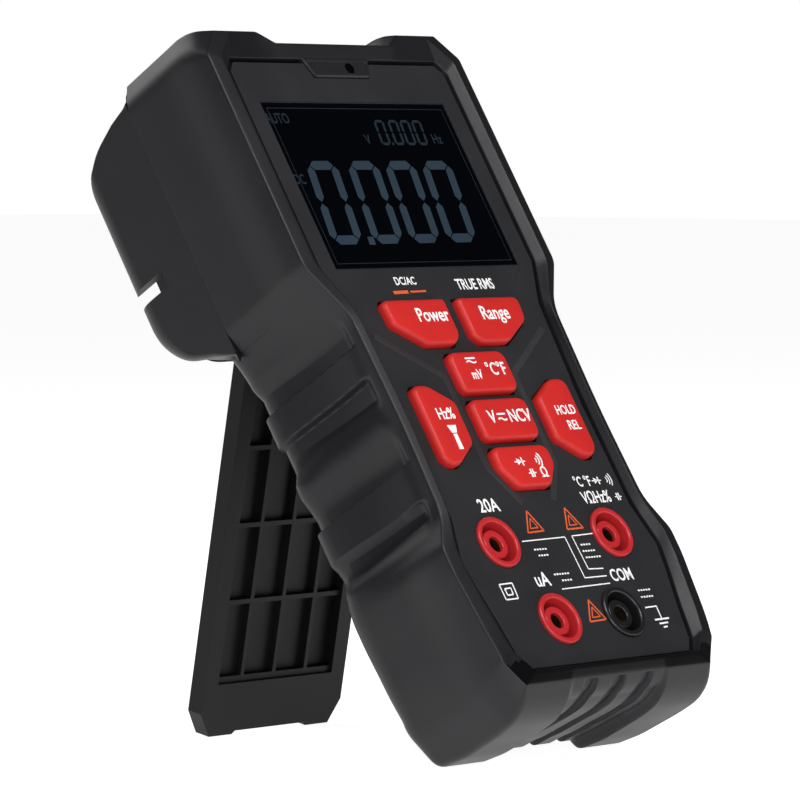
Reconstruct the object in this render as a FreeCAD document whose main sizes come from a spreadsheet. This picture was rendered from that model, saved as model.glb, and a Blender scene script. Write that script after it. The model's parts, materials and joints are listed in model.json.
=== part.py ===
"""Digital multimeter with a fold-out stand, a two-part case, seven push keys and four sockets.

Everything is modelled lying flat: X to the right, Y up the length of the meter towards the
display, Z out of the front panel, with Z = 0 on the panel's face. At the end each sub-part is
turned to the pose in which the meter stands on its stand, leaning back, with +Z up.
"""
import FreeCAD, Part
import math
import os
import Sketcher
from FreeCAD import Placement, Rotation, Vector

SIZES = {
    # standing pose, in degrees
    "lean": 32.0, "stand_open": 42.4,
    # outline of the front rim: half-widths, and distances up or down from the middle
    "head_half": 44.5, "head_top": 98.5, "corner_run": 5.9, "corner_drop": 6.8,
    "dip_half": 20.5, "dip_run": 4.5, "dip_drop": 3.0, "head_low": 33.5,
    "waist_half": 35.5, "waist_ease": 1.0, "waist_top": 21.0, "waist_mid": 8.0, "waist_low": 32.5,
    "flare_half": 40.9, "flare_top": 41.5, "flare_low": 48.0,
    "taper_half": 39.0, "taper_rise": 13.5, "foot_half": 37.6, "foot_rise": 6.5,
    "base_half": 33.0, "base_low": 77.5,
    # depths of the case
    "rim_height": 1.8, "rim_land": 0.5, "shoulder_depth": 4.5, "shoulder_out": 0.9,
    "crown_rise": 4.0, "crown_run": 0.43, "crown_side": 1.2, "base_drop": 4.8, "base_lift": 1.5,
    "seam_depth": 29.0,
    "back_depth": 34.6, "back_half": 41.5, "back_round": 4.0, "bulge_depth": 54.0,
    "seam_gap": 0.3, "wall": 3.6, "end_wall": 3.6, "top_wall": 5.5,
    "end_groove_half": 2.0, "end_groove_pitch": 10.0, "end_groove_depth": 1.3,
    "end_dish_half": 16.0, "end_dish_depth": 2.5, "end_depth": 4.5,
    # panel and the groove round it
    "panel_thick": 2.4, "top_margin": 7.6, "head_margin": 6.4, "waist_margin": 3.6,
    "waist_low_margin": 4.0, "flare_margin": 5.6, "flare_low_margin": 6.7, "taper_margin": 6.6,
    "foot_margin": 6.5, "base_margin": 3.9, "end_margin": 4.3, "panel_cut_run": 2.2,
    "panel_cut_drop": 2.6, "panel_ease": 1.6, "panel_head_rise": 0.5, "panel_waist_rise": 1.5,
    "panel_mid_rise": 3.0, "panel_low_drop": 1.0, "panel_flare_drop": 3.0, "panel_flare_run": 4.0,
    "panel_taper_lift": 3.0, "panel_foot_lift": 1.0, "cut_share": 0.6,
    "groove": 1.9, "groove_depth": 1.4, "panel_fit": 0.15, "ledge": 1.8, "ledge_thick": 2.8,
    # hollow inside the case
    "cavity_cut_run": 2.0, "cavity_cut_drop": 4.0, "head_wall": 3.0, "waist_wall": 2.2,
    "low_waist_wall": 3.0, "flare_wall": 3.2, "corner_wall": 0.6,
    # display
    "window_half": 33.0, "window_low": 33.2, "window_high": 80.0, "lens_fit": 0.1,
    "lens_thick": 1.4, "lens_sunk": 0.3, "stack_gap": 0.1, "glass_thick": 2.7,
    "glass_margin": 1.2, "glass_foot": 4.2, "light_thick": 2.2, "frame_wall": 1.5,
    "frame_fit": 0.15, "zebra_width": 2.0,
    # small window at the top of the panel, with its lamp
    "sensor_half": 12.0, "sensor_taper": 2.2, "sensor_low": 86.9, "sensor_high": 92.4,
    "sensor_thick": 1.2, "sensor_proud": 0.6, "lamp_radius": 1.5, "lamp_side": 4.0,
    "lamp_high": 89.3, "lamp_fit": 0.2,
    # keys
    "key_height": 2.2, "key_fit": 0.35, "key_flange": 0.8, "key_flange_thick": 1.0,
    "key_gap": 0.1, "key_travel": 0.9, "key_round": 0.7,
    "pair_inner": 2.2, "pair_outer": 24.6, "pair_top": 23.9, "pair_low": 11.3,
    "pair_cut_run": 1.3, "pair_cut_drop": 1.5, "pair_lean": 0.6, "pair_side": 5.8,
    "pair_taper": 10.0, "pair_nook_run": 2.4, "pair_nook_rise": 2.3,
    "mid_half": 10.1, "mid_top": 9.2, "mid_height": 11.2, "mid_pitch": 12.9, "key_cut": 1.6,
    "last_key_cut": 5.4, "cut_slope": 0.8,
    "side_inner": 14.8, "side_outer": 27.8, "side_top": 0.8, "side_low": 20.7,
    "side_slant_run": 7.6, "side_slant_drop": 3.2, "side_heel_run": 2.2, "side_heel_rise": 2.1,
    "side_toe_run": 7.8, "side_toe_rise": 5.3,
    # board and what sits on it
    "board_depth": 10.9, "board_thick": 1.6, "board_fit": 1.2, "board_hole_fit": 0.4,
    "membrane_thick": 1.0, "membrane_gap": 0.2, "membrane_half": 29.0, "membrane_low": 31.0,
    "membrane_top": 26.4, "switch_half": 3.0, "switch_height": 3.8, "plunger_radius": 1.6,
    "switch_gap": 0.1, "chip_half": 6.0, "chip_thick": 1.6, "chip_high": 52.0,
    "buzzer_radius": 6.0, "buzzer_height": 4.5, "fuse_radius": 3.0, "fuse_length": 30.0,
    "fuse_pitch": 13.0, "fuse_low": 8.0, "clip_wall": 0.5, "clip_width": 5.0, "shunt_radius": 0.8,
    "shunt_span": 14.0, "shunt_drop": 5.0, "disc_radius": 4.5, "disc_thick": 4.0,
    "torch_radius": 2.5, "torch_depth": 18.0, "torch_length": 9.0, "antenna_half": 7.0,
    "antenna_thick": 0.5, "antenna_height": 7.0,
    # sockets
    "jack_low_half": 11.5, "jack_low": 61.6, "jack_high_half": 20.5, "jack_high": 40.8,
    "jack_radius": 6.0, "jack_lip": 0.6, "jack_wall": 0.8, "ring_height": 0.8,
    "post_radius": 3.7, "post_sunk": 0.6, "jack_depth": 20.0, "jack_floor": 1.5,
    "sleeve_radius": 2.5, "plug_radius": 2.0, "sleeve_sunk": 1.6, "jack_fit": 0.15,
    "sleeve_tail": 2.5,
    # rear shell
    "cheek_low": 28.3, "cheek_run": 4.7, "cheek_drop": 10.7, "bulge_low": 37.5,
    "bulge_high": 88.0, "bulge_round": 6.0, "bulge_ease": 5.5, "bulge_bevel": 4.5,
    "crown_fall": 16.0, "crown_ease": 1.5, "bulge_lip": 2.7,
    "edge_lean": 1.0, "edge_mid": 3.0, "edge_flat": 7.0,
    "rear_wall": 3.0, "channel_inner": 31.0, "channel_outer": 41.4, "channel_depth": 40.0,
    "slot_low": 53.0, "slot_width": 4.2, "pocket_half": 25.9, "pocket_high": 46.4,
    "pocket_floor": 0.3, "plate_thick": 2.6, "plate_fit": 0.15, "plate_high": 33.0,
    # battery compartment, with three AAA cells across it
    "cell_radius": 5.2, "cell_half": 22.25, "cell_pitch": 11.2, "cell_first": 57.4,
    "cell_gap": 0.6, "bay_half": 24.4, "bay_low": 51.4, "bay_high": 86.2, "bay_depth": 39.2,
    "door_side": 4.4, "door_margin": 1.6, "door_thick": 2.0, "door_fit": 0.2,
    "contact_thick": 0.4, "contact_half": 4.0, "contact_gap": 0.05,
    "door_screw_half": 26.8, "door_screw_head": 1.8, "door_screw_radius": 0.9,
    "door_screw_length": 7.0, "door_head_thick": 1.0,
    # stand
    "hinge_high": 42.2, "hinge_depth": 37.6, "stand_half": 25.1, "stand_thick": 4.5,
    "skin": 1.7, "rail": 4.8, "rib": 1.2, "rib_pitch": 19.3, "rib_drop": 0.9,
    "rib_gap": 11.3, "foot_plain": 14.1, "lug_half": 21.3, "notch_half": 12.2, "notch_rise": 0.8,
    "foot_run": 6.0, "barrel_land": 7.5, "pin_radius": 1.5, "pin_grip": 3.0, "pin_reach": 5.0,
    "pin_fit": 0.06,
    # case screws
    "boss_radius": 3.0, "screw_radius": 1.3, "screw_head": 2.5, "head_thick": 1.9,
    "screw_top_half": 24.5, "screw_top": 91.2, "screw_low_half": 31.2, "screw_rise": 15.0,
    "screw_length": 12.0, "screw_fit": 0.2, "boss_wall": 1.2, "boss_end": 28.0,
    "top_seat": 36.0, "low_seat": 32.4,
}

doc = FreeCAD.newDocument("multimeter")
sheet = doc.addObject("Spreadsheet::Sheet", "Dim")
for row, (alias, number) in enumerate(SIZES.items(), start=1):
    sheet.set(f"A{row}", alias)
    sheet.set(f"B{row}", str(number))
    sheet.setAlias(f"B{row}", alias)
doc.recompute()

X_AXIS = Vector(1, 0, 0)
Z_AXIS = Vector(0, 0, 1)
Y_AXIS = Vector(0, 1, 0)
TO_YZ = Rotation(Vector(1, 1, 1), 120)      # a sketch's x runs along Y, its y along Z
TO_XZ = Rotation(X_AXIS, 90)                # a sketch's x runs along X, its y along Z
SIDES = (-1, 1)
START, CENTRE = 1, 3                        # points of a line or a circle in a sketch
sub_parts = {}


# ---------------------------------------------------------------- sizes

class Size:
    """A number worked out from the sheet, with the expression that gives it."""

    def __init__(self, text, value):
        self.text = text
        self.value = value

    def __add__(self, other):
        other = size(other)
        return Size(f"({self.text} + {other.text})", self.value + other.value)

    def __sub__(self, other):
        other = size(other)
        return Size(f"({self.text} - {other.text})", self.value - other.value)

    def __mul__(self, other):
        other = size(other)
        return Size(f"{self.text} * {other.text}", self.value * other.value)

    def __truediv__(self, other):
        other = size(other)
        return Size(f"{self.text} / {other.text}", self.value / other.value)

    def __neg__(self):
        return Size(f"(0 - {self.text})", -self.value)

    def __radd__(self, other):
        return size(other) + self

    def __rsub__(self, other):
        return size(other) - self

    def __rmul__(self, other):
        return size(other) * self


def size(number):
    return number if isinstance(number, Size) else Size(f"({number})", float(number))


class Sheet:
    """Gives each size of the sheet as an attribute."""

    def __getattr__(self, alias):
        return Size(f"Dim.{alias}", SIZES[alias])


d = Sheet()


def bind(obj, fields):
    for field, amount in fields.items():
        obj.setExpression(field, size(amount).text)


# ---------------------------------------------------------------- sketches

def hold(sketch, item, point, kind, amount):
    """Hold a point of a sketch at a signed distance from the sketch's origin."""
    amount = size(amount)
    if abs(amount.value) < 1e-9:
        axis = -2 if kind == "DistanceX" else -1
        sketch.addConstraint(Sketcher.Constraint("PointOnObject", item, point, axis))
        return
    if amount.value > 0:
        ends, length = (-1, 1, item, point), amount
    else:
        ends, length = (item, point, -1, 1), -amount
    index = sketch.addConstraint(Sketcher.Constraint(kind, *ends, length.value))
    sketch.setExpression(f"Constraints[{index}]", length.text)


def draw_polygon(sketch, points, mirrored=False):
    """Draw a closed polygon. A mirrored one gives its right half, from the top down."""
    places = [Vector(size(x).value, size(y).value, 0) for x, y in points]
    if mirrored:
        places += [Vector(-p.x, p.y, 0) for p in reversed(places)]
    first, total = sketch.GeometryCount, len(places)
    for start, end in zip(places, places[1:] + places[:1]):
        sketch.addGeometry(Part.LineSegment(start, end), False)
    for step in range(total):
        after = first + (step + 1) % total
        sketch.addConstraint(Sketcher.Constraint("Coincident", first + step, 2, after, START))
    for step, (x, y) in enumerate(points):
        hold(sketch, first + step, START, "DistanceX", x)
        hold(sketch, first + step, START, "DistanceY", y)
        if mirrored:
            twin = first + total - 1 - step
            sketch.addConstraint(Sketcher.Constraint(
                "Symmetric", first + step, START, twin, START, -2))


def draw_circle(sketch, x, y, radius):
    circle = Part.Circle(Vector(size(x).value, size(y).value, 0), Z_AXIS, size(radius).value)
    item = sketch.addGeometry(circle, False)
    index = sketch.addConstraint(Sketcher.Constraint("Radius", item, size(radius).value))
    sketch.setExpression(f"Constraints[{index}]", size(radius).text)
    hold(sketch, item, CENTRE, "DistanceX", x)
    hold(sketch, item, CENTRE, "DistanceY", y)


def flat_sketch(name, points, z=0, mirrored=False, turn=None):
    sketch = doc.addObject("Sketcher::SketchObject", name)
    if turn is not None:
        sketch.Placement = Placement(Vector(), turn)
    draw_polygon(sketch, points, mirrored)
    bind(sketch, {"Placement.Base.z": z})
    return sketch


def body_sketch(body, name, z=0, role="XY_Plane"):
    """An empty sketch on one of the body's own planes, raised to z."""
    sketch = body.newObject("Sketcher::SketchObject", name)
    plane = next(feature for feature in body.Origin.OriginFeatures if feature.Role == role)
    sketch.AttachmentSupport = [(plane, "")]
    sketch.MapMode = "FlatFace"
    bind(sketch, {"AttachmentOffset.Base.z": z})
    return sketch


# ---------------------------------------------------------------- solids

def box(name, x_low, x_high, y_low, y_high, z_low, z_high):
    part = doc.addObject("Part::Box", name)
    bind(part, {
        "Length": size(x_high) - x_low, "Width": size(y_high) - y_low,
        "Height": size(z_high) - z_low, "Placement.Base.x": x_low,
        "Placement.Base.y": y_low, "Placement.Base.z": z_low})
    return part


def side_box(name, side, x_inner, x_outer, y_low, y_high, z_low, z_high):
    """A box on one side of the middle plane, from x_inner out to x_outer."""
    x_low, x_high = (x_inner, x_outer) if side > 0 else (-size(x_outer), -size(x_inner))
    return box(name, x_low, x_high, y_low, y_high, z_low, z_high)


def rod(name, radius, x, y, z_low, z_high):
    """A cylinder along Z."""
    part = doc.addObject("Part::Cylinder", name)
    bind(part, {
        "Radius": radius, "Height": size(z_high) - z_low, "Placement.Base.x": x,
        "Placement.Base.y": y, "Placement.Base.z": z_low})
    return part


def cross_rod(name, radius, x_low, x_high, y, z):
    """A cylinder along X."""
    part = doc.addObject("Part::Cylinder", name)
    part.Placement.Rotation = Rotation(Y_AXIS, 90)
    bind(part, {
        "Radius": radius, "Height": size(x_high) - x_low, "Placement.Base.x": x_low,
        "Placement.Base.y": y, "Placement.Base.z": z})
    return part


def side_rod(name, side, radius, x_inner, x_outer, y, z):
    x_low, x_high = (x_inner, x_outer) if side > 0 else (-size(x_outer), -size(x_inner))
    return cross_rod(name, radius, x_low, x_high, y, z)


def long_rod(name, radius, x, y_low, y_high, z):
    """A cylinder along Y."""
    part = doc.addObject("Part::Cylinder", name)
    part.Placement.Rotation = Rotation(X_AXIS, -90)
    bind(part, {
        "Radius": radius, "Height": size(y_high) - y_low, "Placement.Base.x": x,
        "Placement.Base.y": y_low, "Placement.Base.z": z})
    return part


def extrude(name, sketch, direction, forward, backward=0):
    part = doc.addObject("Part::Extrusion", name)
    part.Base = sketch
    part.DirMode = "Custom"
    part.Dir = direction
    part.Solid = True
    bind(part, {"LengthFwd": forward, "LengthRev": backward})
    return part


def prism(name, points, z_low, z_high, mirrored=False):
    """A polygon in the XY plane, carried from z_low up to z_high."""
    sketch = flat_sketch(name + "_outline", points, z_low, mirrored)
    return extrude(name, sketch, Z_AXIS, size(z_high) - z_low)


def side_prism(name, points, x_half):
    """A polygon in the YZ plane, carried the same way to both sides."""
    return extrude(name, flat_sketch(name + "_profile", points, turn=TO_YZ), X_AXIS, x_half, x_half)


def long_prism(name, points, y_low, y_high):
    """A mirrored polygon in the XZ plane, carried from y_low to y_high."""
    sketch = flat_sketch(name + "_section", points, 0, True, TO_XZ)
    bind(sketch, {"Placement.Base.y": y_low})
    return extrude(name, sketch, Y_AXIS, size(y_high) - y_low)


def loft(name, levels):
    """A solid through mirrored polygons, each given as (z, right half)."""
    part = doc.addObject("Part::Loft", name)
    part.Sections = [flat_sketch(f"{name}_level{step}", points, z, True)
                     for step, (z, points) in enumerate(levels)]
    part.Solid = True
    part.Ruled = True
    return part


def fuse(name, pieces):
    if len(pieces) == 1:
        return pieces[0]
    part = doc.addObject("Part::MultiFuse", name)
    part.Shapes = pieces
    return part


def common(name, pieces):
    part = doc.addObject("Part::MultiCommon", name)
    part.Shapes = pieces
    return part


def cut(name, base, tools):
    part = doc.addObject("Part::Cut", name)
    part.Base = base
    part.Tool = fuse(name + "_tools", tools)
    return part


def group(name, pieces):
    """Separate solids that share one node."""
    part = doc.addObject("Part::Compound", name)
    part.Links = pieces
    return part


def pad(body, sketch, length, name="Pad", reverse=False):
    feature = body.newObject("PartDesign::Pad", name)
    feature.Profile = sketch
    feature.Reversed = reverse
    bind(feature, {"Length": length})
    sketch.Visibility = False
    return feature


def pocket(body, sketch, length, name="Pocket"):
    """Cut downwards from a sketch."""
    feature = body.newObject("PartDesign::Pocket", name)
    feature.Profile = sketch
    bind(feature, {"Length": length})
    return feature


def both_ways(feature):
    """Let a pad or pocket run the same way to both sides of its sketch."""
    feature.SideType = "Symmetric"
    return feature


def keep(node, part, local=None):
    """Make an object one of the sub-parts, placed in the meter by local.

    A bare primitive already has its place in the meter, so it goes in a compound of its own.
    """
    if part.TypeId in ("Part::Box", "Part::Cylinder"):
        part = group(node + "_node", [part])
    part.Label = node
    sub_parts[node] = (part, local or Placement())
    return part


# ---------------------------------------------------------------- outlines

def rim_outline(out=0, top=0, low=0, rear=0):
    """Right half of the case outline, from the top down.

    out, top and low move it outwards; rear, from 0 to 1, straightens the waist and the foot
    towards the half-width of the back.
    """
    def half(width):
        return width + out + rear * (d.back_half - width)

    out, top, low, rear = size(out), size(top), size(low), size(rear)
    return [
        (d.dip_half, d.head_top - d.dip_drop + top * 0.4),
        (d.dip_half + d.dip_run, d.head_top + top),
        (d.head_half - d.corner_run + out + top * d.crown_run, d.head_top + top),
        (d.head_half + out, d.head_top - d.corner_drop + top * d.crown_side),
        (d.head_half + out, d.head_low),
        (half(d.waist_half + d.waist_ease), d.waist_top),
        (half(d.waist_half), -d.waist_mid),
        (half(d.waist_half + d.waist_ease * 0.7), -d.waist_low),
        (half(d.flare_half), -d.flare_top),
        (half(d.flare_half), -d.flare_low),
        (half(d.taper_half), d.taper_rise - d.base_low),
        (d.foot_half + out + rear * (d.taper_half - d.foot_half),
         d.foot_rise - d.base_low - low * 0.6),
        (d.base_half + out, -d.base_low - low),
    ]


def panel_outline(out=0):
    """Right half of the panel outline, grown by out."""
    out = size(out)
    top = d.head_top - d.top_margin
    head = d.head_half - d.head_margin
    return [
        (d.dip_half, top + out),
        (d.dip_half + d.dip_run, top + out),
        (head - d.panel_cut_run + out * d.cut_share, top + out),
        (head + out, top - d.panel_cut_drop + out * d.cut_share),
        (head + out, d.head_low + d.panel_head_rise),
        (d.waist_half - d.waist_margin + d.panel_ease + out, d.waist_top + d.panel_waist_rise),
        (d.waist_half - d.waist_margin + out, d.panel_mid_rise - d.waist_mid),
        (d.waist_half + d.waist_ease * 0.7 - d.waist_low_margin + out,
         -d.waist_low - d.panel_low_drop),
        (d.flare_half - d.flare_margin + out, -d.flare_top - d.panel_flare_drop),
        (d.flare_half - d.flare_low_margin + out, -d.flare_low - d.panel_flare_run),
        (d.taper_half - d.taper_margin + out, d.taper_rise + d.panel_taper_lift - d.base_low),
        (d.foot_half - d.foot_margin + out, d.foot_rise + d.panel_foot_lift - d.base_low),
        (d.base_half - d.base_margin + out * d.cut_share, d.end_margin - d.base_low - out),
    ]


def cavity_outline(out=0):
    """Right half of the hollow inside the case, grown by out."""
    out = size(out)
    head = d.head_half - d.head_wall
    top = d.head_top - d.top_wall
    return [
        (head - d.cavity_cut_run + out, top + out),
        (head + out, top - d.cavity_cut_drop + out),
        (head + out, d.head_low + 1),
        (d.waist_half - d.waist_wall + out, d.waist_top),
        (d.waist_half - d.low_waist_wall + out, -d.waist_low),
        (d.flare_half - d.flare_wall + out, -d.flare_top),
        (d.flare_half - d.flare_wall + out, -d.flare_low - 2),
        (d.taper_half - d.wall + out, d.taper_rise - d.base_low - 1),
        (d.base_half - d.corner_wall + out, d.end_wall - d.base_low - out),
    ]


def pair_key(side):
    """The two upper keys are mirror images, tapered on their lower outer corners."""
    right = [
        (d.pair_inner, d.pair_top), (d.pair_outer - d.pair_cut_run, d.pair_top),
        (d.pair_outer, d.pair_top - d.pair_cut_drop),
        (d.pair_outer - d.pair_lean, d.pair_low + d.pair_side),
        (d.pair_outer - d.pair_taper, d.pair_low), (d.pair_inner + d.pair_nook_run, d.pair_low),
        (d.pair_inner, d.pair_low + d.pair_nook_rise)]
    return [(side * x, y) for x, y in right]


def mid_key(row, low_cut):
    """A key of the middle column, with its lower corners cut by low_cut."""
    top = d.mid_top - row * d.mid_pitch
    low = top - d.mid_height
    right = [(d.mid_half - d.key_cut, top), (d.mid_half, top - d.key_cut),
             (d.mid_half, low + low_cut), (d.mid_half - d.cut_slope * low_cut, low)]
    return right + [(-x, y) for x, y in reversed(right)]


def side_key(side):
    """The two outer keys are tall, with slanted inner corners."""
    right = [
        (d.side_inner, -d.side_top - d.side_slant_drop),
        (d.side_inner + d.side_slant_run, d.side_top),
        (d.side_outer - d.key_cut, d.side_top), (d.side_outer, d.side_top - d.key_cut),
        (d.side_outer, d.side_heel_rise - d.side_low),
        (d.side_outer - d.side_heel_run, -d.side_low),
        (d.side_inner + d.side_toe_run, -d.side_low),
        (d.side_inner, d.side_toe_rise - d.side_low)]
    return [(side * x, y) for x, y in right]


KEYS = {
    "power_key": pair_key(-1), "range_key": pair_key(1),
    "temperature_key": mid_key(0, d.key_cut), "voltage_key": mid_key(1, d.key_cut),
    "continuity_key": mid_key(2, d.last_key_cut),
    "frequency_key": side_key(-1), "hold_key": side_key(1),
}

JACKS = {
    "current_jack": (-d.jack_high_half, -d.jack_high),
    "voltage_jack": (d.jack_high_half, -d.jack_high),
    "microamp_jack": (-d.jack_low_half, -d.jack_low),
    "common_jack": (d.jack_low_half, -d.jack_low),
}

SCREWS = [(side * half, y, seat) for side in SIDES for half, y, seat in (
    (d.screw_top_half, d.screw_top, -d.top_seat),
    (d.screw_low_half, d.screw_rise - d.base_low, -d.low_seat))]


def middle(points):
    """The middle of a polygon's box."""
    xs = sorted(points, key=lambda point: size(point[0]).value)
    ys = sorted(points, key=lambda point: size(point[1]).value)
    return (size(xs[0][0]) + xs[-1][0]) / 2, (size(ys[0][1]) + ys[-1][1]) / 2


def grown(points, out):
    """A polygon with each corner moved away from the middle, along X and along Y."""
    centre_x, centre_y = middle(points)
    moved = []
    for x, y in points:
        right = 1 if size(x).value > centre_x.value else -1
        up = 1 if size(y).value > centre_y.value else -1
        moved.append((x + right * out, y + up * out))
    return moved


def cell_y(place):
    """Height of a battery cell's axis, counted from the lowest."""
    return d.cell_first + place * d.cell_pitch


def frame_limits():
    """Lowest and highest Y and the half-width of the frame round the display."""
    rim = d.frame_fit + d.frame_wall
    return (d.window_low - d.glass_foot - rim, d.window_high + d.glass_margin + rim,
            d.window_half + d.glass_margin + rim)


# ---------------------------------------------------------------- case

def front_shell():
    shell = loft("front_body", [
        (-d.back_depth, rim_outline(-d.back_round, d.crown_rise, d.base_drop - d.base_lift, 1)),
        (d.back_round - d.back_depth,
         rim_outline(0, d.crown_rise, d.base_drop - d.base_lift / 2, 1)),
        (-d.shoulder_depth, rim_outline(d.shoulder_out, d.crown_rise, d.base_drop)),
        (d.rim_height, rim_outline()),
    ])
    dish = loft("rim_dish", [
        (-d.groove_depth, panel_outline(d.groove)),
        (0.2, panel_outline(d.groove)),
        (d.rim_height + 0.01, rim_outline(-d.rim_land, -d.rim_land, -d.rim_land)),
    ])
    ledge_low = -d.panel_thick - d.ledge_thick
    hollow = prism("front_hollow", cavity_outline(), -d.back_depth - 5, ledge_low, True)
    opening = prism("panel_opening", panel_outline(-d.ledge), ledge_low - 1, 1 - d.panel_thick, True)
    seat = prism("panel_seat", panel_outline(d.panel_fit), -d.panel_thick, 0, True)
    far = d.head_half + 9
    rear_room = box("rear_room", -far, far, d.cheek_low - d.seam_gap, d.head_top + 20,
                    -d.back_depth - 9, -d.seam_depth)
    end = -d.base_low - d.base_drop
    end_dish = box("end_dish", -d.end_dish_half, d.end_dish_half, end - 9, end + d.end_dish_depth,
                   -d.back_depth - 5, -d.end_depth)
    grooves = []
    for place in (-1, 0, 1):
        middle_x = place * d.end_groove_pitch
        grooves.append(box(
            "end_groove", middle_x - d.end_groove_half, middle_x + d.end_groove_half, end - 9,
            end + d.end_dish_depth + d.end_groove_depth, -d.back_depth - 5, -d.end_depth))
    torch = long_rod("torch_hole", d.torch_radius + 0.1, 0, d.head_top - 15, d.head_top + 5,
                     -d.torch_depth)
    lamp = rod("lamp_room", d.lamp_radius + d.lamp_fit, d.lamp_side, d.lamp_high, ledge_low - 1, 0)
    low, high, half = frame_limits()
    frame_room = box("display_room", -half - d.frame_fit, half + d.frame_fit, low - d.frame_fit,
                     high, ledge_low - 1, -d.panel_thick)
    rooms = [dish, hollow, opening, seat, rear_room, end_dish, torch, lamp, frame_room]
    case = cut("front_case", shell, rooms + grooves)
    bosses = [rod("front_boss", d.boss_radius, x, y, -d.boss_end, ledge_low + 0.5)
              for x, y, seat_z in SCREWS]
    pilots = [rod("pilot", d.screw_radius, x, y, -d.boss_end - 5, ledge_low - 2)
              for x, y, seat_z in SCREWS]
    keep("front_shell", cut("front_shell_cut", fuse("front_with_bosses", [case] + bosses), pilots))


def rear_shell():
    top = -d.seam_depth - d.seam_gap
    back = -d.bulge_depth
    outline = prism("bulge_outline", rim_outline(0, d.crown_rise, 0, 1)[:5] + [
        (d.head_half, d.cheek_low)], back, top, True)
    profile = side_prism("bulge_side", [
        (d.cheek_low, top), (d.cheek_low + d.cheek_run, top - d.cheek_drop),
        (d.bulge_low, back + d.bulge_round), (d.bulge_low + d.bulge_ease, back),
        (d.bulge_high - 2, back), (d.bulge_high + 3, back + d.bulge_bevel),
        (d.head_top - d.crown_ease, back + d.crown_fall), (d.head_top, top - d.bulge_lip),
        (d.head_top + d.crown_rise, top)], d.head_half + 1)
    section = long_prism("bulge_section", [
        (d.head_half - 0.2, top), (d.head_half - d.edge_lean, back + d.edge_flat),
        (d.head_half - d.edge_mid, back + d.edge_mid), (d.head_half - d.edge_flat, back)],
        d.cheek_low - 1, d.head_top + d.crown_rise + 1)
    bulge = common("bulge", [outline, profile, section])
    plate_low, plate_top = -d.back_depth, d.plate_thick - d.back_depth
    far = d.head_half + 9
    plate = common("rear_plate", [
        prism("plate_outline", cavity_outline(-d.plate_fit), plate_low, plate_top, True),
        box("plate_room", -far, far, -d.base_low - 9, d.plate_high, plate_low, plate_top)])
    boss = d.screw_head + d.screw_fit + d.boss_wall
    bosses = []
    for side in SIDES:
        bosses.append(rod("upper_boss", boss, side * d.screw_top_half, d.screw_top,
                          -d.top_seat - 2.5, top))
        bosses.append(rod("lower_boss", boss, side * d.screw_low_half,
                          d.screw_rise - d.base_low, plate_low, -d.boss_end - d.seam_gap))
    inner = d.head_half - d.rear_wall - 0.2
    shallow = box("shallow_hollow", -inner, inner, d.cheek_low + 6.2, d.bay_low,
                  d.plate_thick - d.back_depth, top + 1)
    deep = box("deep_hollow", -inner, inner, d.bay_low, d.head_top - 4.5,
               d.rear_wall - d.channel_depth, top + 1)
    bay = box("battery_bay", -d.bay_half, d.bay_half, d.bay_low, d.bay_high, back - 1, -d.bay_depth)
    door_half = d.bay_half + d.door_side
    recess = box("door_recess", -door_half, door_half, d.bay_low - d.door_margin,
                 d.bay_high + d.door_margin, back - 1, back + d.door_thick)
    hinge_room = box("stand_pocket", -d.pocket_half, d.pocket_half, d.cheek_low - 9, d.pocket_high,
                     back - 1, -d.back_depth - d.pocket_floor)
    tools = [bay, recess, hinge_room]
    for side in SIDES:
        tools.append(side_box("probe_channel", side, d.channel_inner, d.channel_outer,
                              d.cheek_low - 9, d.head_top + 9, back - 1, -d.channel_depth))
        tools.append(side_box("guard_slot", side, d.channel_outer - 1, d.head_half + 5, d.slot_low,
                              d.slot_low + d.slot_width, back - 1, -d.channel_depth))
        tools.append(side_rod("pin_hole", side, d.pin_radius, d.pocket_half - 1,
                              d.pocket_half + d.pin_grip + 0.1, d.hinge_high, -d.hinge_depth))
        tools.append(rod("door_pilot", d.door_screw_radius, side * d.door_screw_half, cell_y(1),
                         back - 1, back + d.door_screw_length + 0.3))
    hollowed = cut("hollowed_bulge", bulge, [shallow, deep])
    solid = fuse("rear_solid", [hollowed, plate] + bosses)
    for x, y, seat in SCREWS:
        tools.append(rod("screw_hole", d.screw_radius + d.screw_fit, x, y, back - 1, -d.boss_end + 1))
        tools.append(rod("head_room", d.screw_head + d.screw_fit, x, y, back - 1, seat))
    keep("rear_shell", cut("rear_shell_cut", solid, tools))


def front_panel():
    body = doc.addObject("PartDesign::Body", "PanelBody")
    plate = body_sketch(body, "PanelOutline", -d.panel_thick)
    draw_polygon(plate, panel_outline(), True)
    pad(body, plate, d.panel_thick)
    openings = body_sketch(body, "PanelOpenings")
    draw_polygon(openings, [(d.window_half, d.window_high), (d.window_half, d.window_low)], True)
    for points in KEYS.values():
        draw_polygon(openings, grown(points, d.key_fit))
    for x, y in JACKS.values():
        draw_circle(openings, x, y, d.jack_radius + d.jack_fit)
    draw_circle(openings, d.lamp_side, d.lamp_high, d.lamp_radius + d.lamp_fit)
    pocket(body, openings, d.panel_thick + 1)
    seat = body_sketch(body, "SensorSeat")
    draw_polygon(seat, sensor_outline(d.panel_fit), True)
    pocket(body, seat, d.sensor_thick + d.stack_gap)
    keep("front_panel", body)


def sensor_outline(out=0):
    return [(d.sensor_half + out, d.sensor_high + out),
            (d.sensor_half - d.sensor_taper + out, d.sensor_low - size(out))]


def sensor_window():
    body = doc.addObject("PartDesign::Body", "SensorBody")
    sketch = body_sketch(body, "SensorOutline", -d.sensor_thick)
    draw_polygon(sketch, sensor_outline(), True)
    pad(body, sketch, d.sensor_thick + d.sensor_proud)
    keep("sensor_window", body)


# ---------------------------------------------------------------- display

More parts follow.
